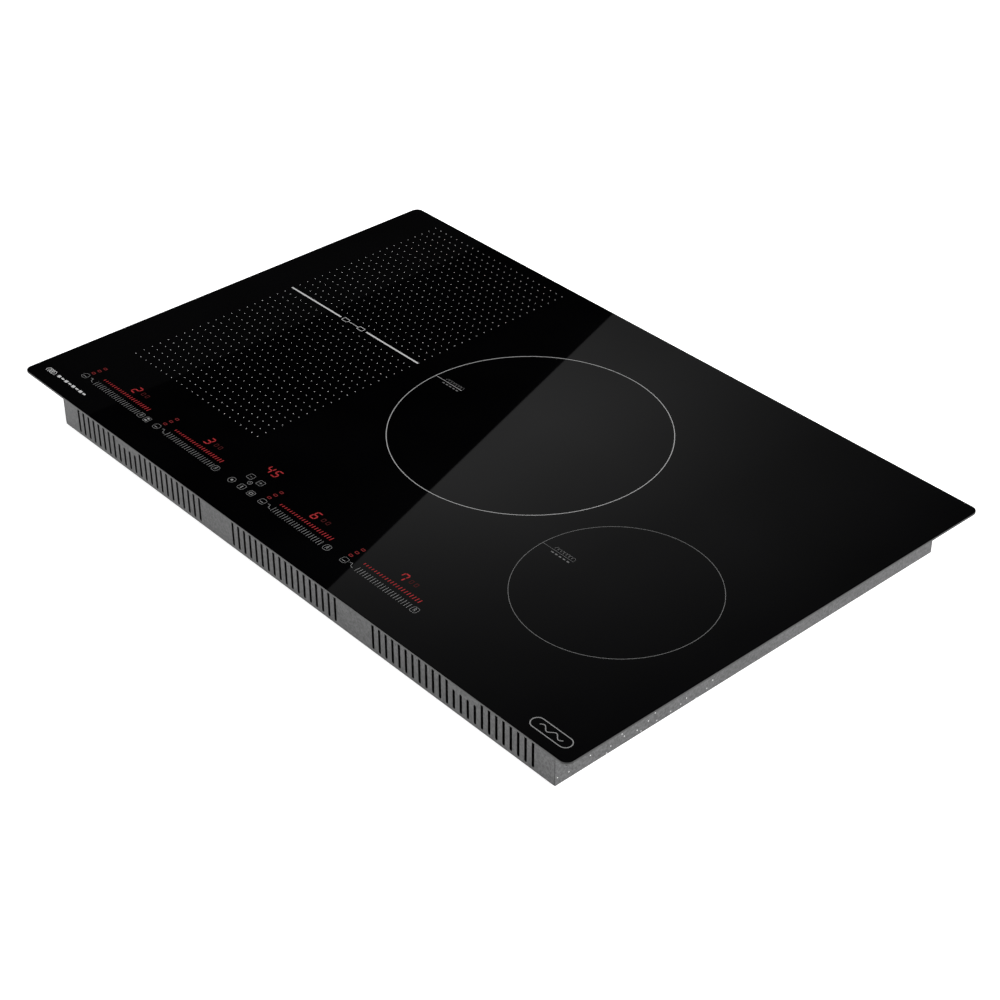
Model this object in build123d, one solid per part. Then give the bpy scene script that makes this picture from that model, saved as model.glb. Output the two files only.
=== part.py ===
from build123d import *
import os
from math import cos, sin, radians, sqrt

# Built-in electric induction cooktop, in millimetres.
# +X is the user's right, +Y is the rear and +Z is up. The origin is on the plane that
# the case stands on, under the centre of the glass.

# ---- Glass ----
GLASS_X = 800.0          # width, left to right
GLASS_Y = 520.0          # depth, front to rear
GLASS_T = 4.0
GLASS_R = 8.0            # corner radius
GLASS_EDGE = 0.6         # ground upper edge's radius
GLASS_BEVEL = 1.8        # bevel under the edge
TOTAL_H = 60.0           # standing plane to glass top

# ---- Sheet metal case ----
OVERHANG_SIDE = 34.0     # glass beyond the case, left and right
OVERHANG_FRONT = 21.0
OVERHANG_REAR = 18.0
SHEET = 1.0              # steel sheet
BEND_R = 1.5             # outside radius of the folded bottom edges
PAD_H = 1.0              # pressed pads that the case stands on
PAD_R = 12.0
PAD_DRAFT = 1.0          # how much wider a pad is at its root
PAD_FRONT = (245.0, 32.0)       # front pads from the middle, and from the front panel
PAD_REAR = (200.0, 29.0)        # rear pads, the same way
PANEL_FLANGE = 12.0      # foot of the front and rear panels, on the floor
SEAM = 0.4               # gap where sheets meet edge on

# ---- Ventilation slots ----
SLOT_W = 3.2
SLOT_H = 30.5
SLOT_SHORT_H = 21.0
SLOT_BASE = 3.3          # above the panel's lower edge
SLOT_PITCH = 9.05
SLOT_GROUP_X = 234.5     # outer groups' distance from the middle
GRILLE_SLOT = 4.0
GRILLE_PITCH = 7.5

# ---- Glass support ----
GLUE_T = 1.0
GLUE_INSET = 1.0         # bead's distance from both edges of the flange
FRAME_T = 1.0
FRAME_FLANGE = 10.0
FRAME_LIP = 12.0
SEAL_T = 3.0
SEAL_W = 6.0
SEAL_INSET = 5.0         # seal to glass edge

# ---- Coils ----
MICA_T = 0.8
WINDING_T = 4.0
CARRIER_T = 4.0
CARRIER_RIM = 4.0        # carrier beyond its winding
SPRING_H = 8.0
SPRING_T = 0.6
SPRING_W = 8.0
SPRING_FOOT = 5.0
SPRING_RUN = 6.0
SPRING_CROWN = 4.0       # half of the crown's length
SPRING_REACH = 0.62      # spring's place, as a share of the coil's radius
PLATE_T = 1.2
PLATE_MARGIN = 8.0       # coil plate to the case's inner faces
SENSOR_R = 5.0
SENSOR_FLANGE_R = 8.0
SENSOR_FLANGE_T = 2.0
SENSOR_GAP = 0.5
FERRITE_W = 12.0
FERRITE_T = 3.0
FERRITE_EDGE = 8.0       # bar's outer end inside the winding's edge
POCKET_GAP = 0.2
FLEX_INSET_X = 155.0     # flexible zone's centre to the left glass edge
FLEX_Y = 42.0            # flexible zone's middle line
FLEX_COIL_X = 188.0
FLEX_COIL_Y = 158.0
FLEX_COIL_R = 40.0
FLEX_COIL_OFFSET = 98.0  # each flexible coil's centre to the middle line
FLEX_EYE_X = 60.0
FLEX_EYE_Y = 36.0
FLEX_EYE_R = 12.0
CENTRE_ZONE = (28.0, 42.0)
CENTRE_COIL_R = 125.0
RIGHT_INSET_X = 136.0    # right zone's centre to the right glass edge
RIGHT_ZONE_Y = -72.0
RIGHT_COIL_R = 80.0
COIL_EYE_R = 22.0

# ---- Boards ----
BOARD_T = 1.6
STANDOFF_H = 6.0
STANDOFF_AF = 6.0
STANDOFF_PIN_R = 1.5
STANDOFF_HOLE_R = 1.6
STANDOFF_EDGE = 5.0
POWER_X = 170.0
POWER_FRONT = -110.0
POWER_REAR = 85.0
SINK_X = 60.0
SINK_BASE = 3.5
SINK_H = 22.0
SINK_FIN = 1.6
SINK_FINS = 11
SINK_SHIFT = -30.0       # heat sink's centre from the board's centre
SINK_END = 15.0          # board beyond the heat sink, front and rear
CHIP_T = 5.0
CHIP_W = 16.0
CHIP_H = 20.0
CAP_X = 32.0
CAP_Y = 16.0
CAP_H = 20.0
CAP_R = 1.5
CAP_AT = 33.0            # capacitors' middle from the board's middle
CAP_GAP = 6.0
CAP_START = 30.0         # first capacitor behind the board's front edge
CHIP_FIRST = 0.2         # first and following chips, as shares of the board's depth
CHOKE_R = 20.0
CHOKE_BORE = 9.0
CHOKE_H = 14.0
CHOKE_ROUND = 3.0
CHOKE_AT = (53.0, 45.0)  # from the board's middle in X, and in the cooktop's Y
FILTER_X = 155.0
FILTER_FRONT = 30.0
FILTER_REAR = 145.0
FILTER_EDGE = 24.0       # filter board to the case's side
FILTER_CAP_AT = (32.0, 20.0)    # first capacitor from the board's left front corner
FILTER_CAP_GAP = 8.0
FILTER_CHOKE_AT = (34.0, 32.0)  # from the board's right front corner
RELAY_AT = (28.0, 20.0)         # first relay from the board's right rear corner
RELAY_STEP = 20.0
RELAY_X = 28.0
RELAY_Y = 12.0
RELAY_H = 15.0
RELAY_R = 0.8

# ---- Blower ----
FAN_Y = 150.0
FAN_SHIFT = -20.0        # blower's centre from its board's centre
FAN_R = 42.0             # impeller
FAN_INLET_R = 34.0
FAN_GAP = 4.0            # impeller to housing
FAN_WALL = 2.0
FAN_H = 26.0
FAN_NOZZLE = 62.0        # blower's centre to the end of its outlet
FAN_CUP_R = 17.0
FAN_CUP_WALL = 1.5
FAN_DISC_T = 2.0
FAN_BLADES = 24
FAN_BLADE_T = 1.2
FAN_BLADE_EDGE = 0.3     # blades inside the rims
FAN_RING_T = 1.0
FAN_RUN_GAP = 3.0        # impeller to the housing's floor and roof
MOTOR_GAP = 0.5
SHAFT_R = 1.5
SHAFT_CLEARANCE = 0.05

# ---- Terminal box ----
TERM_INSET_X = 95.0      # box's centre to the case's right side
TERM_X = 100.0
TERM_Y = 72.0
TERM_H = 28.0
TERM_WALL = 2.0
COVER_T = 2.0
COVER_LIFT = 0.5         # cover's underside above the standing plane
COVER_GAP = 0.4
BARREL_R = 2.5
PIN_R = 1.0
PIN_CLEARANCE = 0.05
PIN_SEAT = 1.5           # pin's depth in each side wall
TAB_T = 1.5
TAB_H = 5.0
TAB_W = 14.0
TAB_INSET = 3.5          # tabs to the lid's free edge
BLOCK_X = 78.0
BLOCK_Y = 22.0
BLOCK_H = 14.0
BLOCK_SHIFT = 6.0        # block in front of the box's middle
POLES = 6
POLE_PITCH = 12.0
WELL_R = 3.0
WELL_DEPTH = 5.0
SCREW_R = 2.4
SCREW_T = 2.0
SCREW_SLOT_W = 0.8
SCREW_SLOT_T = 0.8
WIRE_R = 2.2
WIRE_DEPTH = 6.0
WIRE_RISE = 2.0          # wire entries above the block's middle
GLAND_BORE = 6.5
GLAND_R = 9.0
GLAND_FLANGE_R = 11.5
GLAND_FLANGE_T = 2.0
GLAND_Z = 16.0
GLAND_GAP = 0.1

# ---- Control panel ----
KEY_INSET_Y = 39.0       # row of keys to the front glass edge
CONTROL_LEFT = 46.0      # control board's left end to the left glass edge
CONTROL_X = 530.0
CONTROL_FRONT = 6.0      # board in front of the key row
CONTROL_REAR = 45.0      # board behind the key row
LAMP_H = 6.8
LAMP_GAP = 0.2           # lamps to glass
HOLDER_T = 2.0
HOLDER_RIB = 1.0
HOLDER_RIB_W = 3.0
LEG_X = 12.0
LEG_Y = 24.0
LEG_BACK = 10.0          # legs behind the key row
LEGS = (22.0, 190.0, 380.0, 510.0)
DIGIT_X = 13.0
DIGIT_Y = 15.0
DIGIT_RISE = 23.0        # digits behind the key row
TIMER_X = 24.0
TIMER_RISE = 37.0
BAR_X = 78.0
BAR_Y = 5.0
BAR_RISE = 10.5
KEY_R = 4.0
KEY_WALL = 0.5
SLIDERS = (65.5, 188.5, 354.5, 479.5)   # slider centres from the board's left end
TIMER_AT = 271.0
DIGIT_AT = 0.5           # digit's centre from its slider's centre
KEY_SPREAD = (-55.0, 42.0)
TIMER_KEYS = ((-15.5, 0.0), (0.0, 0.0), (14.5, 0.0), (-7.5, 16.5), (7.5, 16.5))

# ---- Wiring ----
LEAD_R = 1.5
LEAD_HOLE_R = 3.0
LEAD_BEND = 8.0
LEAD_PAIR = 8.0
LEAD_EDGE = 6.0          # lead's landing to the board's right edge
LEAD_LOW_Z = 24.0
LEAD_REAR = 17.0         # rear coil's leads to the board's rear edge
LEAD_FRONT = 50.0        # front coil's leads to the board's front edge
LEAD_MIDDLE = 12.0       # centre coil's leads behind the board's middle
LEAD_IN = 10.0           # right coil's leads inside its winding's edge
LEAD_BACK = 8.0          # right coil's leads behind its centre
RIBBON_W = 14.0
RIBBON_T = 0.8
RIBBON_EDGE = 12.0       # ribbon to the power board's right edge
RIBBON_LAND = 5.0        # ribbon's landing behind the power board's front edge
RIBBON_LAP = 9.0         # ribbon on the control board
RIBBON_BEND = 4.0
RIBBON_LOW_Z = 20.0
RIBBON_GAP = 5.0         # behind the control holder

# ---- Fasteners ----
SCREW_HEAD_R = 3.2
SCREW_HEAD_T = 2.0
SCREW_HEAD_ROUND = 0.8
SHANK_R = 1.45
SHANK_HOLE_R = 1.6
SHANK_L = 7.0
FRAME_SCREW_DROP = 6.0   # below the frame's flange
FRAME_SCREW_END = 60.0   # last screw of each wall to the case's corner
POST_AF = 8.0
POST_INSET = 13.0        # outer posts to the case's sides
POST_FRONT = -155.0
POST_REAR = 215.0
POST_MIDDLE = (-110.0, 150.0)
LOW_HEAD_R = 3.5
LOW_HEAD_T = 0.8
BRACKET_X = 660.0
BRACKET_Y = 400.0
BRACKET_HOLE_R = 2.1

# ---- Levels and edges that follow from the sizes above ----
glass_z = TOTAL_H - GLASS_T
flange_z = glass_z - GLUE_T
frame_z = flange_z - FRAME_T
floor_z = PAD_H
inner_z = floor_z + SHEET
board_z = inner_z + STANDOFF_H
board_top = board_z + BOARD_T
mica_z = glass_z - MICA_T
winding_z = mica_z - WINDING_T
carrier_z = winding_z - CARRIER_T
plate_top = carrier_z - SPRING_H
plate_z = plate_top - PLATE_T
side = GLASS_X / 2 - OVERHANG_SIDE
front = -GLASS_Y / 2 + OVERHANG_FRONT
rear = GLASS_Y / 2 - OVERHANG_REAR
mid_y = (front + rear) / 2
flex_x = -GLASS_X / 2 + FLEX_INSET_X
right_x = GLASS_X / 2 - RIGHT_INSET_X
term_x = side - TERM_INSET_X
term_rear = rear - SHEET
term_front = term_rear - TERM_Y
hinge_y = term_front + TERM_WALL + COVER_GAP + BARREL_R
hinge_z = inner_z + PIN_R
key_y = -GLASS_Y / 2 + KEY_INSET_Y
control_x = -GLASS_X / 2 + CONTROL_LEFT
control_top = glass_z - LAMP_H - LAMP_GAP
control_z = control_top - BOARD_T
fan_top = inner_z + FAN_H

MODULES = {"left": flex_x, "right": CENTRE_ZONE[0]}
COILS = {
    "rear_left": (flex_x, FLEX_Y + FLEX_COIL_OFFSET, None),
    "front_left": (flex_x, FLEX_Y - FLEX_COIL_OFFSET, None),
    "centre": (*CENTRE_ZONE, CENTRE_COIL_R),
    "right": (right_x, RIGHT_ZONE_Y, RIGHT_COIL_R),
}


def block(x0, x1, y0, y1, z0, z1):
    """A box between two corners."""
    centre = Pos((x0 + x1) / 2, (y0 + y1) / 2, (z0 + z1) / 2)
    return centre * Box(x1 - x0, y1 - y0, z1 - z0)


def rod(x, y, z0, z1, radius):
    """An upright cylinder."""
    return Pos(x, y, (z0 + z1) / 2) * Cylinder(radius, z1 - z0)


def hex_rod(x, y, z0, z1, flats):
    """An upright hexagonal bar, measured across its flats."""
    return Pos(x, y, z0) * extrude(RegularPolygon(flats / 2, 6, major_radius=False), z1 - z0)


def case_block(inset, z0, z1):
    """A box with the case's outline, moved in by an inset."""
    return block(-side + inset, side - inset, front + inset, rear - inset, z0, z1)


def case_ring(outer, inner, z0, z1):
    """A rectangular ring between two insets from the case's outline."""
    return case_block(outer, z0, z1) - case_block(inner, z0, z1)


def joined(shapes):
    """Several touching shapes as one solid."""
    shapes = list(shapes)
    return shapes[0].fuse(*shapes[1:])


# ---- Glass and its support ----
def glass_plate():
    plate = Pos(0, 0, glass_z) * extrude(RectangleRounded(GLASS_X, GLASS_Y, GLASS_R), GLASS_T)
    plate = fillet(plate.faces().sort_by(Axis.Z)[-1].edges(), GLASS_EDGE)
    return chamfer(plate.faces().sort_by(Axis.Z)[0].edges(), GLASS_BEVEL)


def worktop_seal():
    """Four strips of foam that meet end on at the corners."""
    x = GLASS_X / 2 - SEAL_INSET
    y = GLASS_Y / 2 - SEAL_INSET
    z = glass_z - SEAL_T
    long_strips = [block(-x, x, s, s + SEAL_W, z, glass_z) for s in (-y, y - SEAL_W)]
    short_y = y - SEAL_W
    short_strips = [block(s, s + SEAL_W, -short_y, short_y, z, glass_z) for s in (-x, x - SEAL_W)]
    return Compound(long_strips + short_strips)


def silicone_bead():
    return case_ring(GLUE_INSET, FRAME_FLANGE - GLUE_INSET, flange_z, glass_z)


def support_frame():
    flange = case_ring(0, FRAME_FLANGE, frame_z, flange_z)
    lip = case_ring(SHEET, SHEET + FRAME_T, frame_z - FRAME_LIP, frame_z)
    return flange + lip - frame_screw_holes()


def frame_screw_places():
    """Where the screws go through the walls: place on the outer face, and the way the head looks."""
    z = frame_z - FRAME_SCREW_DROP
    side_y = (rear - front) / 2 - FRAME_SCREW_END
    end_x = side - FRAME_SCREW_END
    sides = [(s * side, mid_y + t * side_y, z, s, 0) for s in (-1, 1) for t in (-1, 0, 1)]
    ends = [(t * end_x, y, z, 0, s) for y, s in ((front, -1), (rear, 1)) for t in (-1, -0.38, 0.38, 1)]
    return sides + ends


def sideways(x, y, z, dx, dy, radius, start, end):
    """A cylinder along a horizontal direction, from start to end, measured from a point."""
    turn = Rot(0, 90, 0) if dx else Rot(90, 0, 0)
    middle = (start + end) / 2
    return Pos(x + dx * middle, y + dy * middle, z) * turn * Cylinder(radius, end - start)


def frame_screw_holes():
    reach = SHEET + FRAME_T + 1
    return Compound([sideways(*p, SHANK_HOLE_R, -reach, 1) for p in frame_screw_places()])


def frame_screws():
    shapes = []
    for place in frame_screw_places():
        head = sideways(*place, SCREW_HEAD_R, 0, SCREW_HEAD_T)
        head = fillet(head.edges().sort_by(outward(place))[-1:], SCREW_HEAD_ROUND)
        shapes.append(head + sideways(*place, SHANK_R, -SHANK_L, 0))
    return Compound(shapes)


def outward(place):
    """The axis along which a wall screw's head looks."""
    return Axis((0, 0, 0), (place[3], place[4], 0))


# ---- Sheet metal case ----
def lower_fillet(shape, radius):
    return fillet(shape.edges().filter_by(Axis.Y).group_by(Axis.Z)[0], radius)


def tray_shell():
    """Floor and side walls, folded from one sheet, with notches for the end panels."""
    outer = lower_fillet(block(-side, side, front, rear, floor_z, frame_z), BEND_R)
    x = side - SHEET
    inner = block(-x, x, front - 1, rear + 1, inner_z, frame_z + 1)
    shell = outer - lower_fillet(inner, BEND_R - SHEET)
    for y in (front, rear - SHEET):
        shell -= block(-x, x, y, y + SHEET, 0, frame_z)
    return shell


def pad_places():
    fronts = [(s * PAD_FRONT[0], front + PAD_FRONT[1]) for s in (-1, 1)]
    return fronts + [(s * PAD_REAR[0], rear - PAD_REAR[1]) for s in (-1, 1)]


def pressed_pads(shell):
    for x, y in pad_places():
        shell += Pos(x, y, PAD_H / 2) * Cone(PAD_R, PAD_R + PAD_DRAFT, PAD_H)
        shell -= rod(x, y, floor_z, inner_z, PAD_R - SHEET)
    return shell


def intake_grille(x, y):
    """Parallel slots that fill a circle under a blower."""
    count = int(FAN_INLET_R / GRILLE_PITCH)
    slots = []
    for i in range(-count, count + 1):
        chord = 2 * sqrt(FAN_INLET_R**2 - (i * GRILLE_PITCH) ** 2)
        place = Pos(x + i * GRILLE_PITCH, y, floor_z)
        slots.append(place * extrude(SlotOverall(chord, GRILLE_SLOT, rotation=90), SHEET))
    return Compound(slots)


def post_places():
    outer = side - POST_INSET
    return [(x, y) for x in (-outer, *POST_MIDDLE, outer) for y in (POST_FRONT, POST_REAR)]


def bracket_places():
    xs = (-BRACKET_X / 2, BRACKET_X / 2)
    return [(x, mid_y + y) for x in xs for y in (-BRACKET_Y / 2, BRACKET_Y / 2)]


def base_tray():
    shell = pressed_pads(tray_shell())
    for x in MODULES.values():
        shell -= intake_grille(x + FAN_SHIFT, FAN_Y)
    shell -= Compound([rod(x, y, 0, inner_z, SHANK_HOLE_R) for x, y in post_places()])
    shell -= Compound([rod(x, y, 0, inner_z, BRACKET_HOLE_R) for x, y in bracket_places()])
    return shell - terminal_room(0, inner_z) - frame_screw_holes()


def vent_slots(y, groups):
    """Upright round-ended slots through an end panel; each group is a middle and its runs."""
    slots = []
    for middle, runs in groups:
        heights = [height for height, count in runs for _ in range(count)]
        for i, height in enumerate(heights):
            x = middle + (i - (len(heights) - 1) / 2) * SLOT_PITCH
            z = floor_z + SLOT_BASE + height / 2
            profile = extrude(SlotOverall(height, SLOT_W, rotation=90), SHEET, both=True)
            slots.append(Pos(x, y, z) * Rot(90, 0, 0) * profile)
    return Compound(slots)


def end_panel(y, inward):
    """A flat panel between the side walls, with a foot on the floor."""
    x = side - SHEET - SEAM
    face = block(-x, x, min(y, y + inward * SHEET), max(y, y + inward * SHEET), floor_z, frame_z)
    foot_x = side - BEND_R - SEAM
    foot_y = sorted((y + inward * SHEET, y + inward * PANEL_FLANGE))
    return face + block(-foot_x, foot_x, *foot_y, inner_z, inner_z + SHEET) - frame_screw_holes()


def front_panel():
    full, short = SLOT_H, SLOT_SHORT_H
    left = (-SLOT_GROUP_X, [(full, 8), (short, 4), (full, 12)])
    middle = (0, [(full, 18)])
    right = (SLOT_GROUP_X, [(full, 12), (short, 4), (full, 8)])
    return end_panel(front, 1) - vent_slots(front + SHEET / 2, [left, middle, right])


def rear_panel():
    groups = [(-SLOT_GROUP_X, [(SLOT_H, 24)]), (0, [(SLOT_H, 18)])]
    panel = end_panel(rear, -1) - vent_slots(rear - SHEET / 2, groups)
    half = TERM_X / 2 + COVER_GAP
    panel -= block(term_x - half, term_x + half, term_front, term_rear, inner_z, inner_z + SHEET)
    return panel - gland_rod(GLAND_R + GLAND_GAP, -SHEET - 1, 1)


# ---- Coils ----
def coil_outline(radius, grow):
    """The flat outline of a coil: a disc, or a rounded rectangle in the flexible zone."""
    if radius:
        return Circle(radius + grow)
    return RectangleRounded(FLEX_COIL_X + 2 * grow, FLEX_COIL_Y + 2 * grow, FLEX_COIL_R + grow)


def coil_eye(radius):
    if radius:
        return Circle(COIL_EYE_R)
    return RectangleRounded(FLEX_EYE_X, FLEX_EYE_Y, FLEX_EYE_R)


def coil_winding(x, y, radius):
    flat = coil_outline(radius, 0) - coil_eye(radius)
    return Pos(x, y, winding_z) * extrude(flat, WINDING_T)


def coil_mica(x, y, radius):
    flat = coil_outline(radius, 0) - Circle(SENSOR_R + SENSOR_GAP)
    return Pos(x, y, mica_z) * extrude(flat, MICA_T)


def ferrite_places(x, y, radius):
    """Bars that point at the coil's middle: place, turn and length."""
    if radius:
        inner, outer, count = COIL_EYE_R, radius - FERRITE_EDGE, 8
    else:
        inner, outer, count = COIL_EYE_R, FLEX_COIL_Y / 2 - FERRITE_EDGE, 6
    middle = (inner + outer) / 2
    turns = [360 / count * i for i in range(count)]
    return [
        (x + middle * cos(radians(t)), y + middle * sin(radians(t)), t, outer - inner) for t in turns
    ]


def ferrite(x, y, turn, length, gap=0.0):
    bar = Box(length + 2 * gap, FERRITE_W + 2 * gap, FERRITE_T)
    return Pos(x, y, carrier_z + FERRITE_T / 2) * Rot(0, 0, turn) * bar


def ferrite_bars():
    return Compound([ferrite(*p) for coil in COILS.values() for p in ferrite_places(*coil)])


def coil_carrier(x, y, radius):
    disc = Pos(x, y, carrier_z) * extrude(coil_outline(radius, CARRIER_RIM), CARRIER_T)
    disc -= rod(x, y, carrier_z, winding_z, SENSOR_R + SENSOR_GAP)
    return disc - Compound([ferrite(*p, POCKET_GAP) for p in ferrite_places(x, y, radius)])


def coil_sensor(x, y, _):
    """A temperature sensor that stands through the coil's eye and touches the glass."""
    flange = rod(x, y, carrier_z - SENSOR_FLANGE_T, carrier_z, SENSOR_FLANGE_R)
    return flange + rod(x, y, carrier_z, glass_z, SENSOR_R)


def spring_places(x, y, radius):
    """Three springs under a coil, between its ferrite bars."""
    reach = (radius or FLEX_COIL_Y / 2) * SPRING_REACH
    turns = (22.5, 157.5, 292.5) if radius else (30, 150, 270)
    return [(x + reach * cos(radians(t)), y + reach * sin(radians(t))) for t in turns]


def coil_spring(x, y):
    """A bent strip: two feet on the coil plate and a crown under the carrier."""
    foot, run, crown, h, t = SPRING_FOOT, SPRING_RUN, SPRING_CROWN, SPRING_H, SPRING_T
    upper = [(-crown, h), (-crown - run, t), (-crown - run - foot, t)]
    lower = [(-crown - run - foot, 0), (-crown - run + t / 2, 0), (-crown + t / 2, h - t)]
    half = upper + lower
    outline = half + [(-px, pz) for px, pz in reversed(half)]
    strip = extrude(Plane.XZ * make_face(Polyline(*outline, close=True)), SPRING_W / 2, both=True)
    return Pos(x, y, plate_top) * strip


def coil_springs():
    return Compound([coil_spring(*p) for coil in COILS.values() for p in spring_places(*coil)])


def plate_front():
    return key_y + CONTROL_REAR + 2 * RIBBON_GAP


def coil_plate():
    x = side - SHEET - PLATE_MARGIN
    plate = block(-x, x, plate_front(), rear - SHEET - PLATE_MARGIN, plate_z, plate_top)
    holes = [rod(px, py, plate_z, plate_top, LEAD_HOLE_R) for px, py in lead_starts()]
    return plate - Compound(holes)


# ---- Power boards ----
def board(x0, x1, y0, y1):
    plate = block(x0, x1, y0, y1, board_z, board_top)
    corners = standoff_places(x0, x1, y0, y1)
    return plate - Compound([rod(x, y, board_z, board_top, STANDOFF_HOLE_R) for x, y in corners])


def standoff_places(x0, x1, y0, y1):
    e = STANDOFF_EDGE
    return [(x, y) for x in (x0 + e, x1 - e) for y in (y0 + e, y1 - e)]


def power_outline(x):
    return x - POWER_X / 2, x + POWER_X / 2, POWER_FRONT, POWER_REAR


def filter_outline():
    right = side - FILTER_EDGE
    return right - FILTER_X, right, FILTER_FRONT, FILTER_REAR


def board_outlines():
    return [power_outline(x) for x in MODULES.values()] + [filter_outline()]


def board_standoffs():
    shapes = []
    for outline in board_outlines():
        for x, y in standoff_places(*outline):
            shapes.append(
                hex_rod(x, y, inner_z, board_z, STANDOFF_AF)
                + rod(x, y, board_z, board_top + 1, STANDOFF_PIN_R)
            )
    return Compound(shapes)


def heat_sink(x):
    """An extruded comb that lies along the air stream."""
    x0 = x + SINK_SHIFT - SINK_X / 2
    y0, y1 = POWER_FRONT + SINK_END, POWER_REAR - SINK_END
    top = board_top + SINK_H
    pitch = (SINK_X - SINK_FIN) / (SINK_FINS - 1)
    base = block(x0, x0 + SINK_X, y0, y1, board_top, board_top + SINK_BASE)
    starts = [x0 + i * pitch for i in range(SINK_FINS)]
    return joined([base] + [block(s, s + SINK_FIN, y0, y1, board_top, top) for s in starts])


def power_transistors(x):
    """Switching transistors and a rectifier that stand against the heat sink."""
    face = x + SINK_SHIFT + SINK_X / 2
    length = POWER_REAR - POWER_FRONT
    ys = [POWER_FRONT + length * CHIP_FIRST * i for i in range(1, 5)]
    chips = [block(face, face + CHIP_T, y, y + CHIP_W, board_top, board_top + CHIP_H) for y in ys]
    return Compound(chips)


def rounded_block(x, y, size_x, size_y, height, radius):
    shape = block(x - size_x / 2, x + size_x / 2, y - size_y / 2, y + size_y / 2, board_top,
                  board_top + height)
    return fillet(shape.edges().filter_by(Axis.Z), radius)


def power_capacitors(x):
    ys = [POWER_FRONT + CAP_START + i * (CAP_Y + CAP_GAP) for i in range(4)]
    return Compound([rounded_block(x + CAP_AT, y, CAP_X, CAP_Y, CAP_H, CAP_R) for y in ys])


def ring_choke(x, y):
    """A wound ring core that lies flat on its board."""
    ring = rod(x, y, board_top, board_top + CHOKE_H, CHOKE_R)
    ring -= rod(x, y, board_top, board_top + CHOKE_H, CHOKE_BORE)
    return fillet(ring.edges().filter_by(GeomType.CIRCLE), CHOKE_ROUND)


def filter_capacitors():
    x0, _, y0, _ = filter_outline()
    x = x0 + FILTER_CAP_AT[0]
    ys = [y0 + FILTER_CAP_AT[1] + i * (CAP_Y + FILTER_CAP_GAP) for i in range(3)]
    return Compound([rounded_block(x, y, CAP_X, CAP_Y, CAP_H, CAP_R) for y in ys])


def relays():
    _, x1, _, y1 = filter_outline()
    x = x1 - RELAY_AT[0]
    ys = [y1 - RELAY_AT[1] - i * RELAY_STEP for i in range(2)]
    return Compound([rounded_block(x, y, RELAY_X, RELAY_Y, RELAY_H, RELAY_R) for y in ys])


def filter_choke():
    _, x1, y0, _ = filter_outline()
    return ring_choke(x1 - FILTER_CHOKE_AT[0], y0 + FILTER_CHOKE_AT[1])


# ---- Blowers ----
def fan_hull(x, shrink, z0, z1):
    """A round chamber that opens into a straight outlet towards the front."""
    r = FAN_R + FAN_GAP + FAN_WALL - shrink
    end = FAN_Y - FAN_NOZZLE - (1 if shrink else 0)
    return rod(x, FAN_Y, z0, z1, r) + block(x - r, x + r, end, FAN_Y, z0, z1)


def fan_housing(x):
    shell = fan_hull(x, 0, inner_z, fan_top)
    shell -= fan_hull(x, FAN_WALL, inner_z + FAN_WALL, fan_top - FAN_WALL)
    return shell - rod(x, FAN_Y, inner_z, inner_z + FAN_WALL, FAN_INLET_R)


def fan_levels():
    """Underside of the impeller, underside of its disc, and the disc's top."""
    top = fan_top - FAN_WALL - FAN_RUN_GAP
    return inner_z + FAN_WALL + FAN_RUN_GAP, top - FAN_DISC_T, top


def fan_rotor(x):
    """A squirrel-cage impeller whose cup turns on the motor's shaft bearing."""
    low, disc_z, top = fan_levels()
    cup = rod(x, FAN_Y, low, top, FAN_CUP_R)
    cup -= rod(x, FAN_Y, low + FAN_DISC_T, top, FAN_CUP_R - FAN_CUP_WALL)
    disc = rod(x, FAN_Y, disc_z, top, FAN_R) - rod(x, FAN_Y, disc_z, top, FAN_CUP_R - FAN_CUP_WALL)
    ring = rod(x, FAN_Y, low, low + FAN_RING_T, FAN_R)
    ring -= rod(x, FAN_Y, low, low + FAN_RING_T, FAN_INLET_R)
    near, far = FAN_INLET_R + FAN_BLADE_EDGE, FAN_R - FAN_BLADE_EDGE
    blade = block(near, far, -FAN_BLADE_T / 2, FAN_BLADE_T / 2, low, disc_z)
    turns = [360 / FAN_BLADES * i for i in range(FAN_BLADES)]
    blades = [Pos(x, FAN_Y, 0) * Rot(0, 0, t) * blade for t in turns]
    shaft = rod(x, FAN_Y, low + FAN_DISC_T, top, SHAFT_R)
    return joined([cup, disc, ring, shaft] + blades)


def fan_motor(x):
    """The stator, which hangs from the housing's roof inside the cup."""
    low, _, top = fan_levels()
    roof = fan_top - FAN_WALL
    base = low + FAN_DISC_T + MOTOR_GAP
    stator = rod(x, FAN_Y, base, roof, FAN_CUP_R - FAN_CUP_WALL - MOTOR_GAP)
    return stator - rod(x, FAN_Y, base, top + MOTOR_GAP, SHAFT_R + SHAFT_CLEARANCE)


# ---- Terminal box ----
def terminal_room(z0, z1):
    """The space inside the terminal box's walls."""
    half = TERM_X / 2 - TERM_WALL
    return block(term_x - half, term_x + half, term_front + TERM_WALL, term_rear - TERM_WALL, z0, z1)


def gland_rod(radius, start, end):
    """A cylinder along the cable's inlet, measured outwards from the rear panel's outer face."""
    return sideways(term_x, rear, GLAND_Z, 0, 1, radius, start, end)


def terminal_box():
    half = TERM_X / 2
    shell = block(term_x - half, term_x + half, term_front, term_rear, inner_z, inner_z + TERM_H)
    shell -= terminal_room(inner_z, inner_z + TERM_H - TERM_WALL)
    shell -= gland_rod(GLAND_FLANGE_R + COVER_GAP, -SHEET - TERM_WALL, -SHEET)
    return shell - hinge_rod(PIN_R, pin_half())


def hinge_rod(radius, half):
    return sideways(term_x, hinge_y, hinge_z, 1, 0, radius, -half, half)


def pin_half():
    return TERM_X / 2 - TERM_WALL + PIN_SEAT


def cover_hinge_pin():
    return hinge_rod(PIN_R, pin_half())


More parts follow.
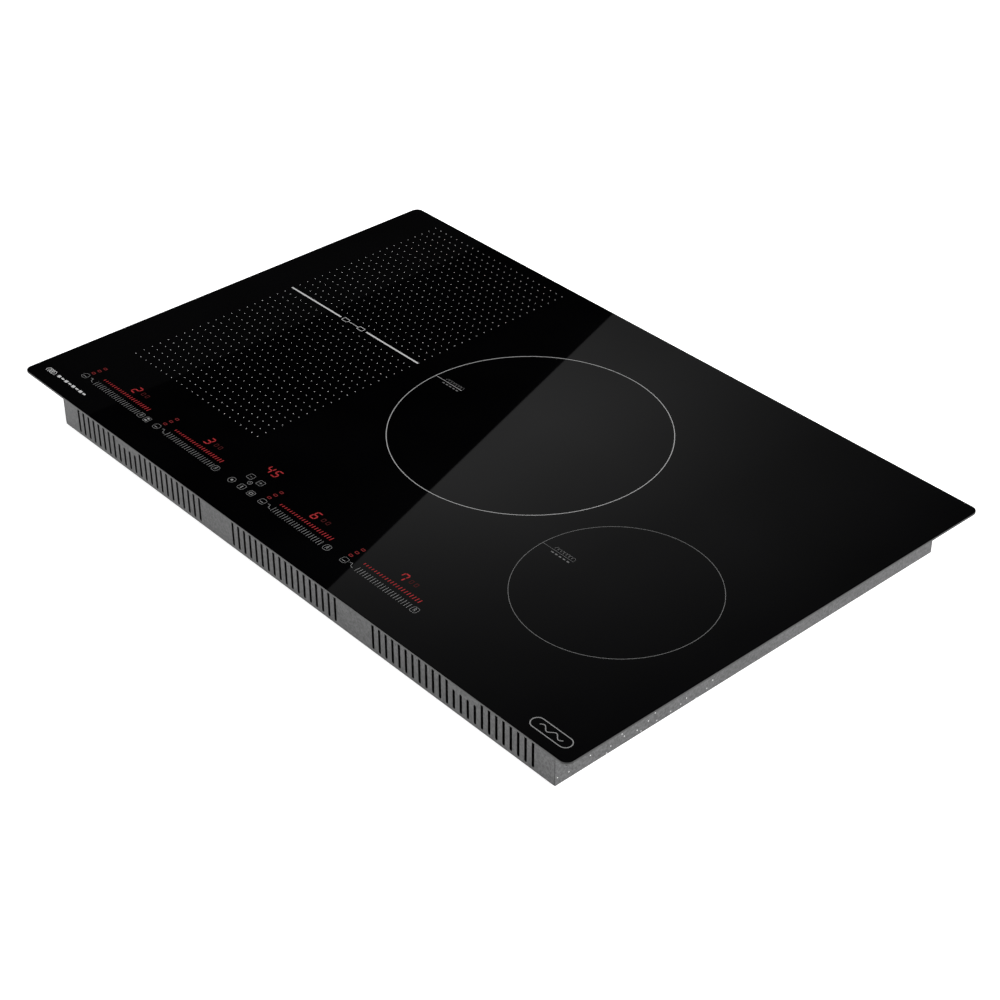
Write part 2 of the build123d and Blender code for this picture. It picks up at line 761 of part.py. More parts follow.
def terminal_cover():
    """A flat lid in the floor's opening, with a hinge barrel along its front edge."""
    half = TERM_X / 2 - TERM_WALL - COVER_GAP
    end = term_rear - TERM_WALL - COVER_GAP
    lid = block(term_x - half, term_x + half, hinge_y, end, COVER_LIFT, COVER_LIFT + COVER_T)
    tab_y = end - TAB_INSET
    base = COVER_LIFT + COVER_T
    tabs = [
        block(x - TAB_W / 2, x + TAB_W / 2, tab_y, tab_y + TAB_T, base, base + TAB_H)
        for x in (term_x - TERM_X / 4, term_x + TERM_X / 4)
    ]
    body = joined([lid, hinge_rod(BARREL_R, half)] + tabs)
    return body - hinge_rod(PIN_R + PIN_CLEARANCE, half)


def block_place():
    """The terminal block's centre in Y, and the level of its lower face."""
    y = (term_front + term_rear) / 2 - BLOCK_SHIFT
    return y, inner_z + TERM_H - TERM_WALL - BLOCK_H


def pole_places():
    return [term_x + (i - (POLES - 1) / 2) * POLE_PITCH for i in range(POLES)]


def terminal_block():
    y, z = block_place()
    body = block(term_x - BLOCK_X / 2, term_x + BLOCK_X / 2, y - BLOCK_Y / 2, y + BLOCK_Y / 2, z,
                 z + BLOCK_H)
    for x in pole_places():
        body -= rod(x, y, z, z + WELL_DEPTH, WELL_R)
        entry_z = z + BLOCK_H / 2 + WIRE_RISE
        body -= sideways(x, y + BLOCK_Y / 2, entry_z, 0, 1, WIRE_R, -WIRE_DEPTH, 0)
    return body


def terminal_screws():
    """Slotted clamp screws at the bottom of each pole's well."""
    y, z = block_place()
    seat = z + WELL_DEPTH
    screws = []
    for x in pole_places():
        low = seat - SCREW_T
        half = SCREW_SLOT_W / 2
        groove = block(x - SCREW_R, x + SCREW_R, y - half, y + half, low, low + SCREW_SLOT_T)
        screws.append(rod(x, y, low, seat, SCREW_R) - groove)
    return Compound(screws)


def cable_gland():
    """A rubber bushing, grooved over the rear panel, with a bore for the supply cable."""
    groove = gland_rod(GLAND_R, -SHEET, 0)
    outer = gland_rod(GLAND_FLANGE_R, 0, GLAND_FLANGE_T)
    inner = gland_rod(GLAND_FLANGE_R, -SHEET - GLAND_FLANGE_T, -SHEET)
    body = joined([groove, outer, inner])
    return body - gland_rod(GLAND_BORE, -SHEET - GLAND_FLANGE_T, GLAND_FLANGE_T)


# ---- Control panel ----
def control_outline():
    return control_x, control_x + CONTROL_X, key_y - CONTROL_FRONT, key_y + CONTROL_REAR


def control_board():
    return block(*control_outline(), control_z, control_top)


def control_holder():
    """A plastic channel on legs that carries the control board along its edges."""
    x0, x1, y0, y1 = control_outline()
    base_z = control_z - HOLDER_RIB - HOLDER_T
    base = block(x0, x1, y0, y1, base_z, base_z + HOLDER_T)
    ribs = [block(x0, x1, y, y + HOLDER_RIB_W, base_z, control_z) for y in (y0, y1 - HOLDER_RIB_W)]
    leg_y = key_y + LEG_BACK
    legs = [block(x0 + x - LEG_X / 2, x0 + x + LEG_X / 2, leg_y, leg_y + LEG_Y, inner_z, base_z)
            for x in LEGS]
    return joined([base] + ribs + legs)


def lamp(x, y, size_x, size_y):
    """A lamp module on the control board, just under the glass."""
    return block(x - size_x / 2, x + size_x / 2, y - size_y / 2, y + size_y / 2, control_top,
                 control_top + LAMP_H)


def digit_displays():
    digits = [lamp(control_x + x + DIGIT_AT, key_y + DIGIT_RISE, DIGIT_X, DIGIT_Y) for x in SLIDERS]
    return Compound(digits + [lamp(control_x + TIMER_AT, key_y + TIMER_RISE, TIMER_X, DIGIT_Y)])


def level_displays():
    return Compound([lamp(control_x + x, key_y + BAR_RISE, BAR_X, BAR_Y) for x in SLIDERS])


def touch_springs():
    """Sprung metal sleeves that carry the touch of each key down to the board."""
    keys = [(x + dx, 0.0) for x in SLIDERS for dx in KEY_SPREAD]
    keys += [(TIMER_AT + dx, dy) for dx, dy in TIMER_KEYS]
    sleeves = []
    for x, y in keys:
        sleeve = rod(control_x + x, key_y + y, control_top, glass_z, KEY_R)
        bore = rod(control_x + x, key_y + y, control_top, glass_z, KEY_R - KEY_WALL)
        sleeves.append(sleeve - bore)
    return Compound(sleeves)


# ---- Wiring ----
def landing_x(x):
    return x + POWER_X / 2 - LEAD_EDGE


def straight_leads():
    """Leads that drop straight from a coil to the board under it."""
    left, right = landing_x(MODULES["left"]), landing_x(MODULES["right"])
    firsts = [(left, y) for y in (POWER_REAR - LEAD_REAR, POWER_FRONT + LEAD_FRONT)]
    firsts.append((right, (POWER_FRONT + POWER_REAR) / 2 + LEAD_MIDDLE))
    return [(x, y + i * LEAD_PAIR) for x, y in firsts for i in (0, 1)]


def bent_leads():
    """The right coil's leads, which cross to the right power board."""
    start = right_x - RIGHT_COIL_R + LEAD_IN
    return [(start, RIGHT_ZONE_Y + LEAD_BACK + i * LEAD_PAIR) for i in (0, 1)]


def lead_starts():
    return straight_leads() + bent_leads()


def coil_leads():
    shapes = [rod(x, y, board_top, carrier_z, LEAD_R) for x, y in straight_leads()]
    for x, y in bent_leads():
        end = landing_x(MODULES["right"])
        points = [(x, y, carrier_z), (x, y, LEAD_LOW_Z), (end, y, LEAD_LOW_Z), (end, y, board_top)]
        path = FilletPolyline(*points, radius=LEAD_BEND)
        shapes.append(sweep(Pos(x, y, carrier_z) * Circle(LEAD_R), path))
    return Compound(shapes)


def ribbon_cable():
    """A flat cable from the control board's rear edge to the left power board."""
    x = MODULES["left"] + POWER_X / 2 - RIBBON_EDGE - RIBBON_W
    gap_y = key_y + CONTROL_REAR + RIBBON_GAP
    level = control_top + RIBBON_T / 2
    end_y = POWER_FRONT + RIBBON_LAND
    points = [(gap_y - RIBBON_LAP, level), (gap_y, level), (gap_y, RIBBON_LOW_Z), (end_y, RIBBON_LOW_Z),
              (end_y, board_top)]
    path = FilletPolyline(*points, radius=RIBBON_BEND)
    flat = trace(path, RIBBON_T)
    return Pos(x, 0, 0) * extrude(Plane.YZ * flat, RIBBON_W)


# ---- Posts and floor screws ----
def plate_posts():
    bore_top = inner_z + SHANK_L
    return Compound([
        hex_rod(x, y, inner_z, plate_z, POST_AF) - rod(x, y, inner_z, bore_top, SHANK_HOLE_R)
        for x, y in post_places()
    ])


def floor_screws():
    low = floor_z - LOW_HEAD_T
    return Compound([
        rod(x, y, low, floor_z, LOW_HEAD_R) + rod(x, y, floor_z, inner_z + SHANK_L - 1, SHANK_R)
        for x, y in post_places()
    ])


nodes = {
    "glass_plate": glass_plate(),
    "worktop_seal": worktop_seal(),
    "silicone_bead": silicone_bead(),
    "support_frame": support_frame(),
    "frame_screws": frame_screws(),
    "base_tray": base_tray(),
    "front_panel": front_panel(),
    "rear_panel": rear_panel(),
    "coil_plate": coil_plate(),
    "plate_posts": plate_posts(),
    "floor_screws": floor_screws(),
    "coil_springs": coil_springs(),
    "ferrite_bars": ferrite_bars(),
    "coil_sensors": Compound([coil_sensor(*coil) for coil in COILS.values()]),
    "board_standoffs": board_standoffs(),
    "filter_board": board(*filter_outline()),
    "filter_choke": filter_choke(),
    "filter_capacitors": filter_capacitors(),
    "relays": relays(),
    "terminal_box": terminal_box(),
    "terminal_block": terminal_block(),
    "terminal_screws": terminal_screws(),
    "terminal_cover": terminal_cover(),
    "cover_hinge_pin": cover_hinge_pin(),
    "cable_gland": cable_gland(),
    "control_board": control_board(),
    "control_holder": control_holder(),
    "digit_displays": digit_displays(),
    "level_displays": level_displays(),
    "touch_springs": touch_springs(),
    "ribbon_cable": ribbon_cable(),
    "coil_leads": coil_leads(),
}
for name, coil in COILS.items():
    nodes[f"{name}_coil_carrier"] = coil_carrier(*coil)
    nodes[f"{name}_coil_winding"] = coil_winding(*coil)
    nodes[f"{name}_coil_mica"] = coil_mica(*coil)
for name, x in MODULES.items():
    nodes[f"{name}_power_board"] = board(*power_outline(x))
    nodes[f"{name}_heat_sink"] = heat_sink(x)
    nodes[f"{name}_transistors"] = power_transistors(x)
    nodes[f"{name}_capacitors"] = power_capacitors(x)
    nodes[f"{name}_choke"] = ring_choke(x + CHOKE_AT[0], CHOKE_AT[1])
    nodes[f"{name}_fan_housing"] = fan_housing(x + FAN_SHIFT)
    nodes[f"{name}_fan_rotor"] = fan_rotor(x + FAN_SHIFT)
    nodes[f"{name}_fan_motor"] = fan_motor(x + FAN_SHIFT)

os.makedirs("parts", exist_ok=True)
for name, shape in nodes.items():
    export_step(shape, f"parts/{name}.step")
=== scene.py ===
from math import cos, pi, radians, sin

import bpy
import numpy as np
from mathutils import Matrix, Vector


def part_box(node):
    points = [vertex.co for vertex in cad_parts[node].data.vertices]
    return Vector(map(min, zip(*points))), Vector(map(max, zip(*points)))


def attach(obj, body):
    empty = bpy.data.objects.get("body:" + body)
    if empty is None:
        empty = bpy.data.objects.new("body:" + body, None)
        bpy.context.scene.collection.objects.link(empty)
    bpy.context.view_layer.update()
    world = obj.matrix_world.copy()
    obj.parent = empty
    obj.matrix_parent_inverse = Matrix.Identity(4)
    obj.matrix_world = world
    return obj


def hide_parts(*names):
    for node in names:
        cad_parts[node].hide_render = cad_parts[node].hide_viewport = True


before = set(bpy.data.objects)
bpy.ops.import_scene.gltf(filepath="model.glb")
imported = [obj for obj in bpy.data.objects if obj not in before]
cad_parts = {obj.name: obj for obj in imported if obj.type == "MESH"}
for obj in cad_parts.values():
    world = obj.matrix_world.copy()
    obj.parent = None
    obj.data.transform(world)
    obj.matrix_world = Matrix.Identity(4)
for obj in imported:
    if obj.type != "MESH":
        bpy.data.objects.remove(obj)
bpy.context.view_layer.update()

# ---- Case ----
# The tray, its front and rear panels and the support frame are folded from zinc-coated
# sheet steel with a fine-grained satin finish, and held together with self-tapping screws.


def finish(name, **sockets):
    """A new material. Each keyword sets one of its shader's sockets, with _ for a space."""
    made = bpy.data.materials.new(name)
    made.use_nodes = True
    shader = made.node_tree.nodes["Principled BSDF"]
    for socket, value in sockets.items():
        value = (*value, 1.0) if isinstance(value, tuple) else value
        shader.inputs[socket.replace("_", " ")].default_value = value
    return made


def step(made, kind, sockets=None, **settings):
    """A node in a finish or in the backdrop; sockets takes numbers, or outputs to link."""
    node = made.node_tree.nodes.new("ShaderNode" + kind)
    for key, value in settings.items():
        setattr(node, key, value)
    for key, value in (sockets or {}).items():
        if isinstance(value, bpy.types.NodeSocket):
            made.node_tree.links.new(value, node.inputs[key])
        else:
            node.inputs[key].default_value = value
    return node


def reckon(made, operation, *values):
    """A sum, a product or a test of numbers, or of the outputs that feed it."""
    return step(made, "Math", dict(enumerate(values)), operation=operation).outputs[0]


def place(made, stretch=(1, 1, 1)):
    """Where a point lies on the piece, each axis multiplied by its stretch."""
    where = step(made, "TexCoord").outputs["Object"]
    return step(made, "Mapping", {"Vector": where, "Scale": stretch}).outputs[0]


def grain(made, scale, detail=3.0, rough=0.6, stretch=(1, 1, 1)):
    """Fractal noise over the piece."""
    where = place(made, stretch)
    knobs = {"Vector": where, "Scale": scale, "Detail": detail, "Roughness": rough}
    return step(made, "TexNoise", knobs).outputs["Fac"]


def wire(made, source, socket):
    """Feeds one of the shader's sockets."""
    made.node_tree.links.new(source, made.node_tree.nodes["Principled BSDF"].inputs[socket])


def tint(made, source, *stops):
    """Base colour from a pattern; each stop is a place from 0 to 1 and its colour."""
    ramp = step(made, "ValToRGB", {"Fac": source})
    edge = ramp.color_ramp.elements
    while len(edge) < len(stops):
        edge.new(0.5)
    for knob, (at, colour) in zip(edge, stops):
        knob.position = at
        knob.color = (*colour, 1.0)
    wire(made, ramp.outputs["Color"], "Base Color")


def carry(made, source, near, far, low, high):
    """A pattern's stretch from near to far, carried over to low to high."""
    knobs = {"Value": source, "From Min": near, "From Max": far, "To Min": low, "To Max": high}
    return step(made, "MapRange", knobs).outputs["Result"]


def vary(made, source, socket, low, high, near=0.3, far=0.7):
    """A shader number that follows a pattern."""
    wire(made, carry(made, source, near, far, low, high), socket)


def relief(made, source, depth):
    """A pattern as surface relief, its depth in metres."""
    bump = step(made, "Bump", {"Height": source, "Distance": depth, "Strength": 1.0})
    wire(made, bump.outputs["Normal"], "Normal")


def blend_of(made, a, b, share):
    """Two patterns in one, the second by its share."""
    return step(made, "Mix", {"Factor": share, "A": a, "B": b}).outputs["Result"]


def dress(made, *nodes):
    """Gives a finish to parts that come ready made."""
    for name in nodes:
        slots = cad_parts[name].data.materials
        slots.clear()
        slots.append(made)


def sheet_finish(name, face_axis=None):
    """Satin zinc: fine grain over broad, faint clouds. On a flat panel, the cut edges and every
    other face that doesn't face along the panel's axis are painted near black as shade, as in the
    slots; on the tray, a few bright specks low on the right wall are painted glints."""
    made = finish(name, Metallic=0.35)
    fine = grain(made, 420, rough=0.7)
    cloud = grain(made, 14, detail=2)
    pattern = blend_of(made, fine, cloud, 0.15)
    facing = step(made, "SeparateXYZ", {"Vector": step(made, "TexCoord").outputs["Normal"]})
    if face_axis:
        toward_face = reckon(made, "ABSOLUTE", facing.outputs[face_axis])
        # faces off the panel's axis drop to the darkest stop: painted shade, as in the slots' sides
        outside_painted_shade = reckon(made, "GREATER_THAN", toward_face, 0.7)
        pattern = reckon(made, "MULTIPLY", pattern, outside_painted_shade)
    else:
        # a few bright specks low on the right wall: painted glints, in the base colour
        spot = step(made, "SeparateXYZ", {"Vector": place(made)})
        wall = step(made, "CombineXYZ", {"X": spot.outputs["Y"], "Y": spot.outputs["Z"]})
        knobs = {"Vector": wall.outputs[0], "Scale": 90.0}
        cells = step(made, "TexVoronoi", knobs, voronoi_dimensions="2D")
        limits = (  # a speck's size, the right wall, its lower part, its front part
            (cells.outputs["Distance"], "LESS_THAN", 0.05),
            (facing.outputs["X"], "GREATER_THAN", 0.9),
            (spot.outputs["Z"], "LESS_THAN", 0.025),
            (spot.outputs["Y"], "LESS_THAN", -0.05),
        )
        painted_glint = 1.0
        for value, side, limit in limits:
            painted_glint = reckon(made, "MULTIPLY", painted_glint, reckon(made, side, value, limit))
        pattern = reckon(made, "MAXIMUM", pattern, painted_glint)
    # the darkest stop is the painted shade on a panel's edges, the brightest the painted glints on
    # the tray
    tint(made, pattern, (0.2, (0.006, 0.006, 0.006)), (0.4, (0.040, 0.0403, 0.041)),
         (0.6, (0.096, 0.0965, 0.098)), (0.8, (0.13, 0.13, 0.132)), (0.95, (0.7, 0.7, 0.7)))
    vary(made, fine, "Roughness", 0.34, 0.46)
    relief(made, fine, 0.00006)
    return made


dress(sheet_finish("case_sheet"), "base_tray", "support_frame")
dress(sheet_finish("panel_sheet", "Y"), "front_panel", "rear_panel")

# ---- Screws and posts ----
# Zinc-plated pan-head screws hold the panels; hexagonal posts stand on the floor and
# carry the coil plate. Their plating is bright, with fine turning marks.
plating = finish("bright_plating", Metallic=1.0)
marks = grain(plating, 700, detail=2)
tint(plating, marks, (0.3, (0.22, 0.22, 0.21)), (0.7, (0.36, 0.36, 0.35)))
vary(plating, marks, "Roughness", 0.28, 0.45)
relief(plating, marks, 0.00003)
dress(plating, "frame_screws", "floor_screws", "plate_posts")

# ---- Boards and their parts ----
# Glass-epoxy boards under green solder resist with copper tracks; potted capacitors,
# ring-core chokes, relays and power transistors clamped to extruded heat sinks.
board = finish("green_board", Roughness=0.38, Coat_Weight=0.3, Coat_Roughness=0.2)
knobs = {"Vector": place(board), "Scale": 110.0, "Randomness": 0.9}
tracks = step(board, "TexVoronoi", knobs, distance="MANHATTAN")
pours = step(board, "SeparateColor", {"Color": tracks.outputs["Color"]}).outputs["Green"]
board_pattern = blend_of(board, pours, grain(board, 300), 0.4)
tint(board, board_pattern, (0.1, (0.014, 0.11, 0.04)), (0.9, (0.03, 0.18, 0.07)))
relief(board, board_pattern, 0.00002)
dress(board, "left_power_board", "right_power_board", "filter_board", "control_board")

fin_metal = finish("extruded_aluminium", Metallic=1.0)
draw_lines = grain(fin_metal, 500, stretch=(1, 0.02, 1))
tint(fin_metal, draw_lines, (0.3, (0.50, 0.51, 0.52)), (0.7, (0.68, 0.69, 0.70)))
vary(fin_metal, draw_lines, "Roughness", 0.25, 0.45)
relief(fin_metal, draw_lines, 0.00004)
dress(fin_metal, "left_heat_sink", "right_heat_sink")

chip = finish("chip_epoxy", Roughness=0.55)
chip_grain = grain(chip, 1200)
tint(chip, chip_grain, (0.3, (0.012, 0.012, 0.013)), (0.7, (0.03, 0.03, 0.032)))
relief(chip, chip_grain, 0.00002)
dress(chip, "left_transistors", "right_transistors")

capacitor = finish("capacitor_case", Coat_Weight=0.2)
capacitor_grain = grain(capacitor, 500)
tint(capacitor, capacitor_grain, (0.3, (0.48, 0.42, 0.22)), (0.7, (0.58, 0.52, 0.30)))
vary(capacitor, capacitor_grain, "Roughness", 0.3, 0.45)
dress(capacitor, "left_capacitors", "right_capacitors", "filter_capacitors")

choke = finish("choke_wire", Metallic=0.9)
enamel_coat = grain(choke, 300)
tint(choke, enamel_coat, (0.2, (0.42, 0.13, 0.04)), (0.8, (0.62, 0.24, 0.09)))
vary(choke, enamel_coat, "Roughness", 0.25, 0.4)
relief(choke, enamel_coat, 0.00002)

ferrite = finish("ferrite", Roughness=0.5)
ferrite_grain = grain(ferrite, 1400)
tint(ferrite, ferrite_grain, (0.3, (0.03, 0.03, 0.034)), (0.7, (0.07, 0.07, 0.075)))
relief(ferrite, ferrite_grain, 0.00004)
dress(ferrite, "ferrite_bars")


def arc(x, y, rx, ry, count, start=0.0, end=360.0):
    """Points on an ellipse: its half axes times the cosine and sine of evenly spread angles."""
    turn = np.radians(np.linspace(start, end, count, endpoint=end - start < 360))
    return np.c_[x + rx * np.cos(turn), y + ry * np.sin(turn)]


def fitted(mesh, made):
    """A finished mesh as a new piece, fixed to the cooktop."""
    mesh.materials.append(made)
    piece = bpy.data.objects.new(mesh.name, mesh)
    bpy.context.scene.collection.objects.link(piece)
    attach(piece, "cooktop")
    return piece


def tube(name, path, across, up, radius, lay, made, sides=8):
    """A wire along a path, in metres: at each point a ring, its angle's cosine along across
    and its sine along up; its UVs count the lengths of lay along it and the way round."""
    turn = (np.arange(sides) * 2 * pi / sides)[:, None]
    outward = across[:, None] * np.cos(turn) + up[:, None] * np.sin(turn)
    rings = path[:, None] + radius * outward
    i, k = np.meshgrid(np.arange(len(path) - 1), np.arange(sides), indexing="ij")
    after = (k + 1) % sides
    here, there = i * sides, (i + 1) * sides
    quads = np.stack([here + k, here + after, there + after, there + k], -1)
    first = list(range(sides))
    caps = [first[::-1], [(len(path) - 1) * sides + j for j in first]]
    mesh = bpy.data.meshes.new(name)
    mesh.from_pydata(rings.reshape(-1, 3).tolist(), [], quads.reshape(-1, 4).tolist() + caps)
    run = np.r_[0, np.cumsum(np.linalg.norm(np.diff(path, axis=0), axis=1))] / lay
    lengthways = np.stack([run[i], run[i], run[i + 1], run[i + 1]], -1)
    round_it = np.stack([k, k + 1, k + 1, k], -1) / sides
    uv = np.stack([lengthways, round_it], -1)
    spread = np.zeros((len(mesh.loops), 2), np.float32)
    spread[: uv.size // 2] = uv.reshape(-1, 2)
    mesh.uv_layers.new(name="lay").data.foreach_set("uv", spread.ravel())
    mesh.shade_smooth()
    return fitted(mesh, made)


CORNERS = ((1, 1, 0), (-1, 1, 90), (-1, -1, 180), (1, -1, 270))  # side in x, in y; angle
SECTION = 28  # points round a ring's section, seven on each corner


def ring_section(half_x, half_y, radius):
    """A rounded rectangle's points and outward normals: a quarter circle at each corner."""
    unit = np.concatenate([arc(0, 0, 1, 1, SECTION // 4, a, a + 90) for _, _, a in CORNERS])
    centres = [(sx * (half_x - radius), sy * (half_y - radius)) for sx, sy, _ in CORNERS]
    return np.repeat(centres, SECTION // 4, axis=0) + radius * unit, unit


def around(points, angle):
    """Points in a ring's section, each turned about the ring's axis by its own angle."""
    out, up = points[..., 0], points[..., 1]
    return np.stack([out * np.cos(angle), out * np.sin(angle), up], -1)


CHOKE_WIRE_R = 0.0007
CHOKE_TURNS = 36
CHOKE_LAP = 0.96  # the share of the ring that its winding covers
CHOKE_BORE = 0.009
TURN_CORNER, CORE_CORNER = 0.0022, 0.0015
CORE_DEPTH = 2.1 * CHOKE_WIRE_R  # the core's surface, below the outside of its turns
CORE_SIDES = 48
for node in ("left_choke", "right_choke", "filter_choke"):
    low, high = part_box(node)
    centre = np.array((low + high) / 2)
    ring_r = (high.x - low.x) / 2
    mean_r, half = (ring_r + CHOKE_BORE) / 2, (ring_r - CHOKE_BORE) / 2
    tall = (high.z - low.z) / 2
    section, normal = ring_section(half - CHOKE_WIRE_R, tall - CHOKE_WIRE_R, TURN_CORNER)
    at = np.arange(CHOKE_TURNS * SECTION)
    angle = at / at[-1] * 2 * pi * CHOKE_LAP
    path = around(section[at % SECTION] + (mean_r, 0), angle) + centre
    outward = around(normal[at % SECTION], angle)
    beside = np.c_[-np.sin(angle), np.cos(angle), np.zeros(len(angle))]
    wound = tube(node + "_turns", path, outward, beside, CHOKE_WIRE_R, 0.01, choke,
                 sides=6)
    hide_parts(node)
    core_section, _ = ring_section(half - CORE_DEPTH, tall - CORE_DEPTH, CORE_CORNER)
    swept = np.broadcast_to(core_section + (mean_r, 0), (CORE_SIDES, SECTION, 2))
    sweep = np.linspace(0, 2 * pi, CORE_SIDES, endpoint=False)[:, None]
    i, k = np.meshgrid(np.arange(CORE_SIDES), np.arange(SECTION), indexing="ij")
    here, there, after = i * SECTION, (i + 1) % CORE_SIDES * SECTION, (k + 1) % SECTION
    quads = np.stack([here + k, there + k, there + after, here + after], -1).reshape(-1, 4)
    mesh = bpy.data.meshes.new(node + "_core")
    mesh.from_pydata((around(swept, sweep) + centre).reshape(-1, 3).tolist(), [], quads.tolist())
    fitted(mesh, ferrite)

relay = finish("relay_case", Coat_Weight=0.3)
relay_grain = grain(relay, 400)
tint(relay, relay_grain, (0.3, (0.03, 0.09, 0.24)), (0.7, (0.05, 0.13, 0.31)))
vary(relay, relay_grain, "Roughness", 0.28, 0.4)
dress(relay, "relays")

nylon = finish("white_nylon", Roughness=0.5, Subsurface_Weight=0.05)
nylon_grain = grain(nylon, 300)
tint(nylon, nylon_grain, (0.3, (0.66, 0.65, 0.60)), (0.7, (0.76, 0.75, 0.71)))
relief(nylon, nylon_grain, 0.00003)
dress(nylon, "board_standoffs", "control_holder")

# ---- Blowers ----
# Two squirrel-cage blowers stand over slots in the floor: glass-filled black housings,
# moulded impellers, and a motor that hangs in each impeller's cup.
black_moulding = finish("black_moulding", Roughness=0.5)
moulding_grain = grain(black_moulding, 1500, detail=2)
tint(black_moulding, moulding_grain, (0.3, (0.014, 0.014, 0.015)), (0.7, (0.03, 0.03, 0.032)))
relief(black_moulding, moulding_grain, 0.00005)
dress(black_moulding, "left_fan_housing", "right_fan_housing", "left_fan_rotor",
      "right_fan_rotor", "terminal_box", "terminal_cover")

motor_metal = finish("motor_metal", Metallic=1.0)
motor_grain = grain(motor_metal, 600, stretch=(1, 1, 0.1))
tint(motor_metal, motor_grain, (0.3, (0.45, 0.45, 0.46)), (0.7, (0.6, 0.6, 0.61)))
vary(motor_metal, motor_grain, "Roughness", 0.3, 0.45)
dress(motor_metal, "left_fan_motor", "right_fan_motor")

# ---- Supply inlet ----
# A moulded box with a hinged cover under it, a six-pole polyamide terminal block with
# brass screws, and a rubber bushing where the supply cable enters at the rear.
polyamide = finish("terminal_polyamide", Roughness=0.45)
polyamide_grain = grain(polyamide, 350)
tint(polyamide, polyamide_grain, (0.3, (0.60, 0.58, 0.50)), (0.7, (0.70, 0.68, 0.61)))
relief(polyamide, polyamide_grain, 0.00003)
dress(polyamide, "terminal_block")

brass = finish("brass_screw", Metallic=1.0)
brass_grain = grain(brass, 900)
tint(brass, brass_grain, (0.3, (0.58, 0.43, 0.16)), (0.7, (0.74, 0.58, 0.25)))
vary(brass, brass_grain, "Roughness", 0.2, 0.35)
dress(brass, "terminal_screws")

bushing = finish("bushing_rubber", Roughness=0.75)
bushing_grain = grain(bushing, 800)
tint(bushing, bushing_grain, (0.3, (0.015, 0.015, 0.015)), (0.7, (0.03, 0.03, 0.03)))
relief(bushing, bushing_grain, 0.00005)
dress(bushing, "cable_gland")

spring_steel = finish("spring_steel", Metallic=1.0)
spring_lines = grain(spring_steel, 600, stretch=(1, 0.1, 1))
tint(spring_steel, spring_lines, (0.3, (0.45, 0.45, 0.45)), (0.7, (0.6, 0.6, 0.6)))
vary(spring_steel, spring_lines, "Roughness", 0.22, 0.4)
dress(spring_steel, "coil_springs", "cover_hinge_pin", "touch_springs")

# ---- Coils ----
# An aluminium plate on posts carries sprung formers; each holds ferrite bars below and a
# spiral of enamelled stranded wire above, under a mica sheet that touches the glass.
plate_metal = finish("mill_aluminium", Metallic=1.0)
mill_lines = grain(plate_metal, 700, stretch=(0.04, 1, 1))
tint(plate_metal, mill_lines, (0.3, (0.60, 0.61, 0.62)), (0.7, (0.67, 0.68, 0.69)))
vary(plate_metal, mill_lines, "Roughness", 0.3, 0.45)
relief(plate_metal, mill_lines, 0.000006)
dress(plate_metal, "coil_plate")

former = finish("coil_former", Roughness=0.6)
former_grain = grain(former, 700)
tint(former, former_grain, (0.3, (0.03, 0.03, 0.032)), (0.7, (0.07, 0.07, 0.075)))
relief(former, former_grain, 0.00006)

mica = finish("mica_sheet", Roughness=0.4, Coat_Weight=0.2)
flakes = step(mica, "TexVoronoi", {"Vector": place(mica), "Scale": 160.0}).outputs["Distance"]
tint(mica, flakes, (0.1, (0.66, 0.60, 0.45)), (0.8, (0.76, 0.70, 0.57)))
relief(mica, flakes, 0.00002)

coil_wire = finish("coil_wire", Metallic=0.8)
STRANDS = 5  # seen round the wire, each a rise and a fall
along = step(coil_wire, "SeparateXYZ", {"Vector": step(coil_wire, "TexCoord").outputs["UV"]})
lay = reckon(coil_wire, "MULTIPLY_ADD", along.outputs["Y"], 2 * STRANDS, along.outputs["X"])
strands = reckon(coil_wire, "PINGPONG", lay, 1.0)
copper = blend_of(coil_wire, strands, grain(coil_wire, 120), 0.4)
tint(coil_wire, copper, (0.1, (0.20, 0.055, 0.02)), (0.8, (0.62, 0.25, 0.10)))
vary(coil_wire, strands, "Roughness", 0.45, 0.28)
relief(coil_wire, strands, 0.0002)

TURN_POINTS = 96


def oblong(half_x, half_y, radius):
    """One turn's points round a rounded rectangle: an eighth of them, and one more, on the
    quarter circle at each corner, and the rest evenly along its sides."""
    share = TURN_POINTS // 8
    bends = [arc(sx * (half_x - radius), sy * (half_y - radius), radius, radius, share + 1,
                 a, a + 90) for sx, sy, a in CORNERS]
    sides = [np.linspace(a[-1], b[0], share, endpoint=False)[1:]
             for a, b in zip(bends, bends[1:] + bends[:1])]
    return np.concatenate([part for pair in zip(bends, sides) for part in pair])


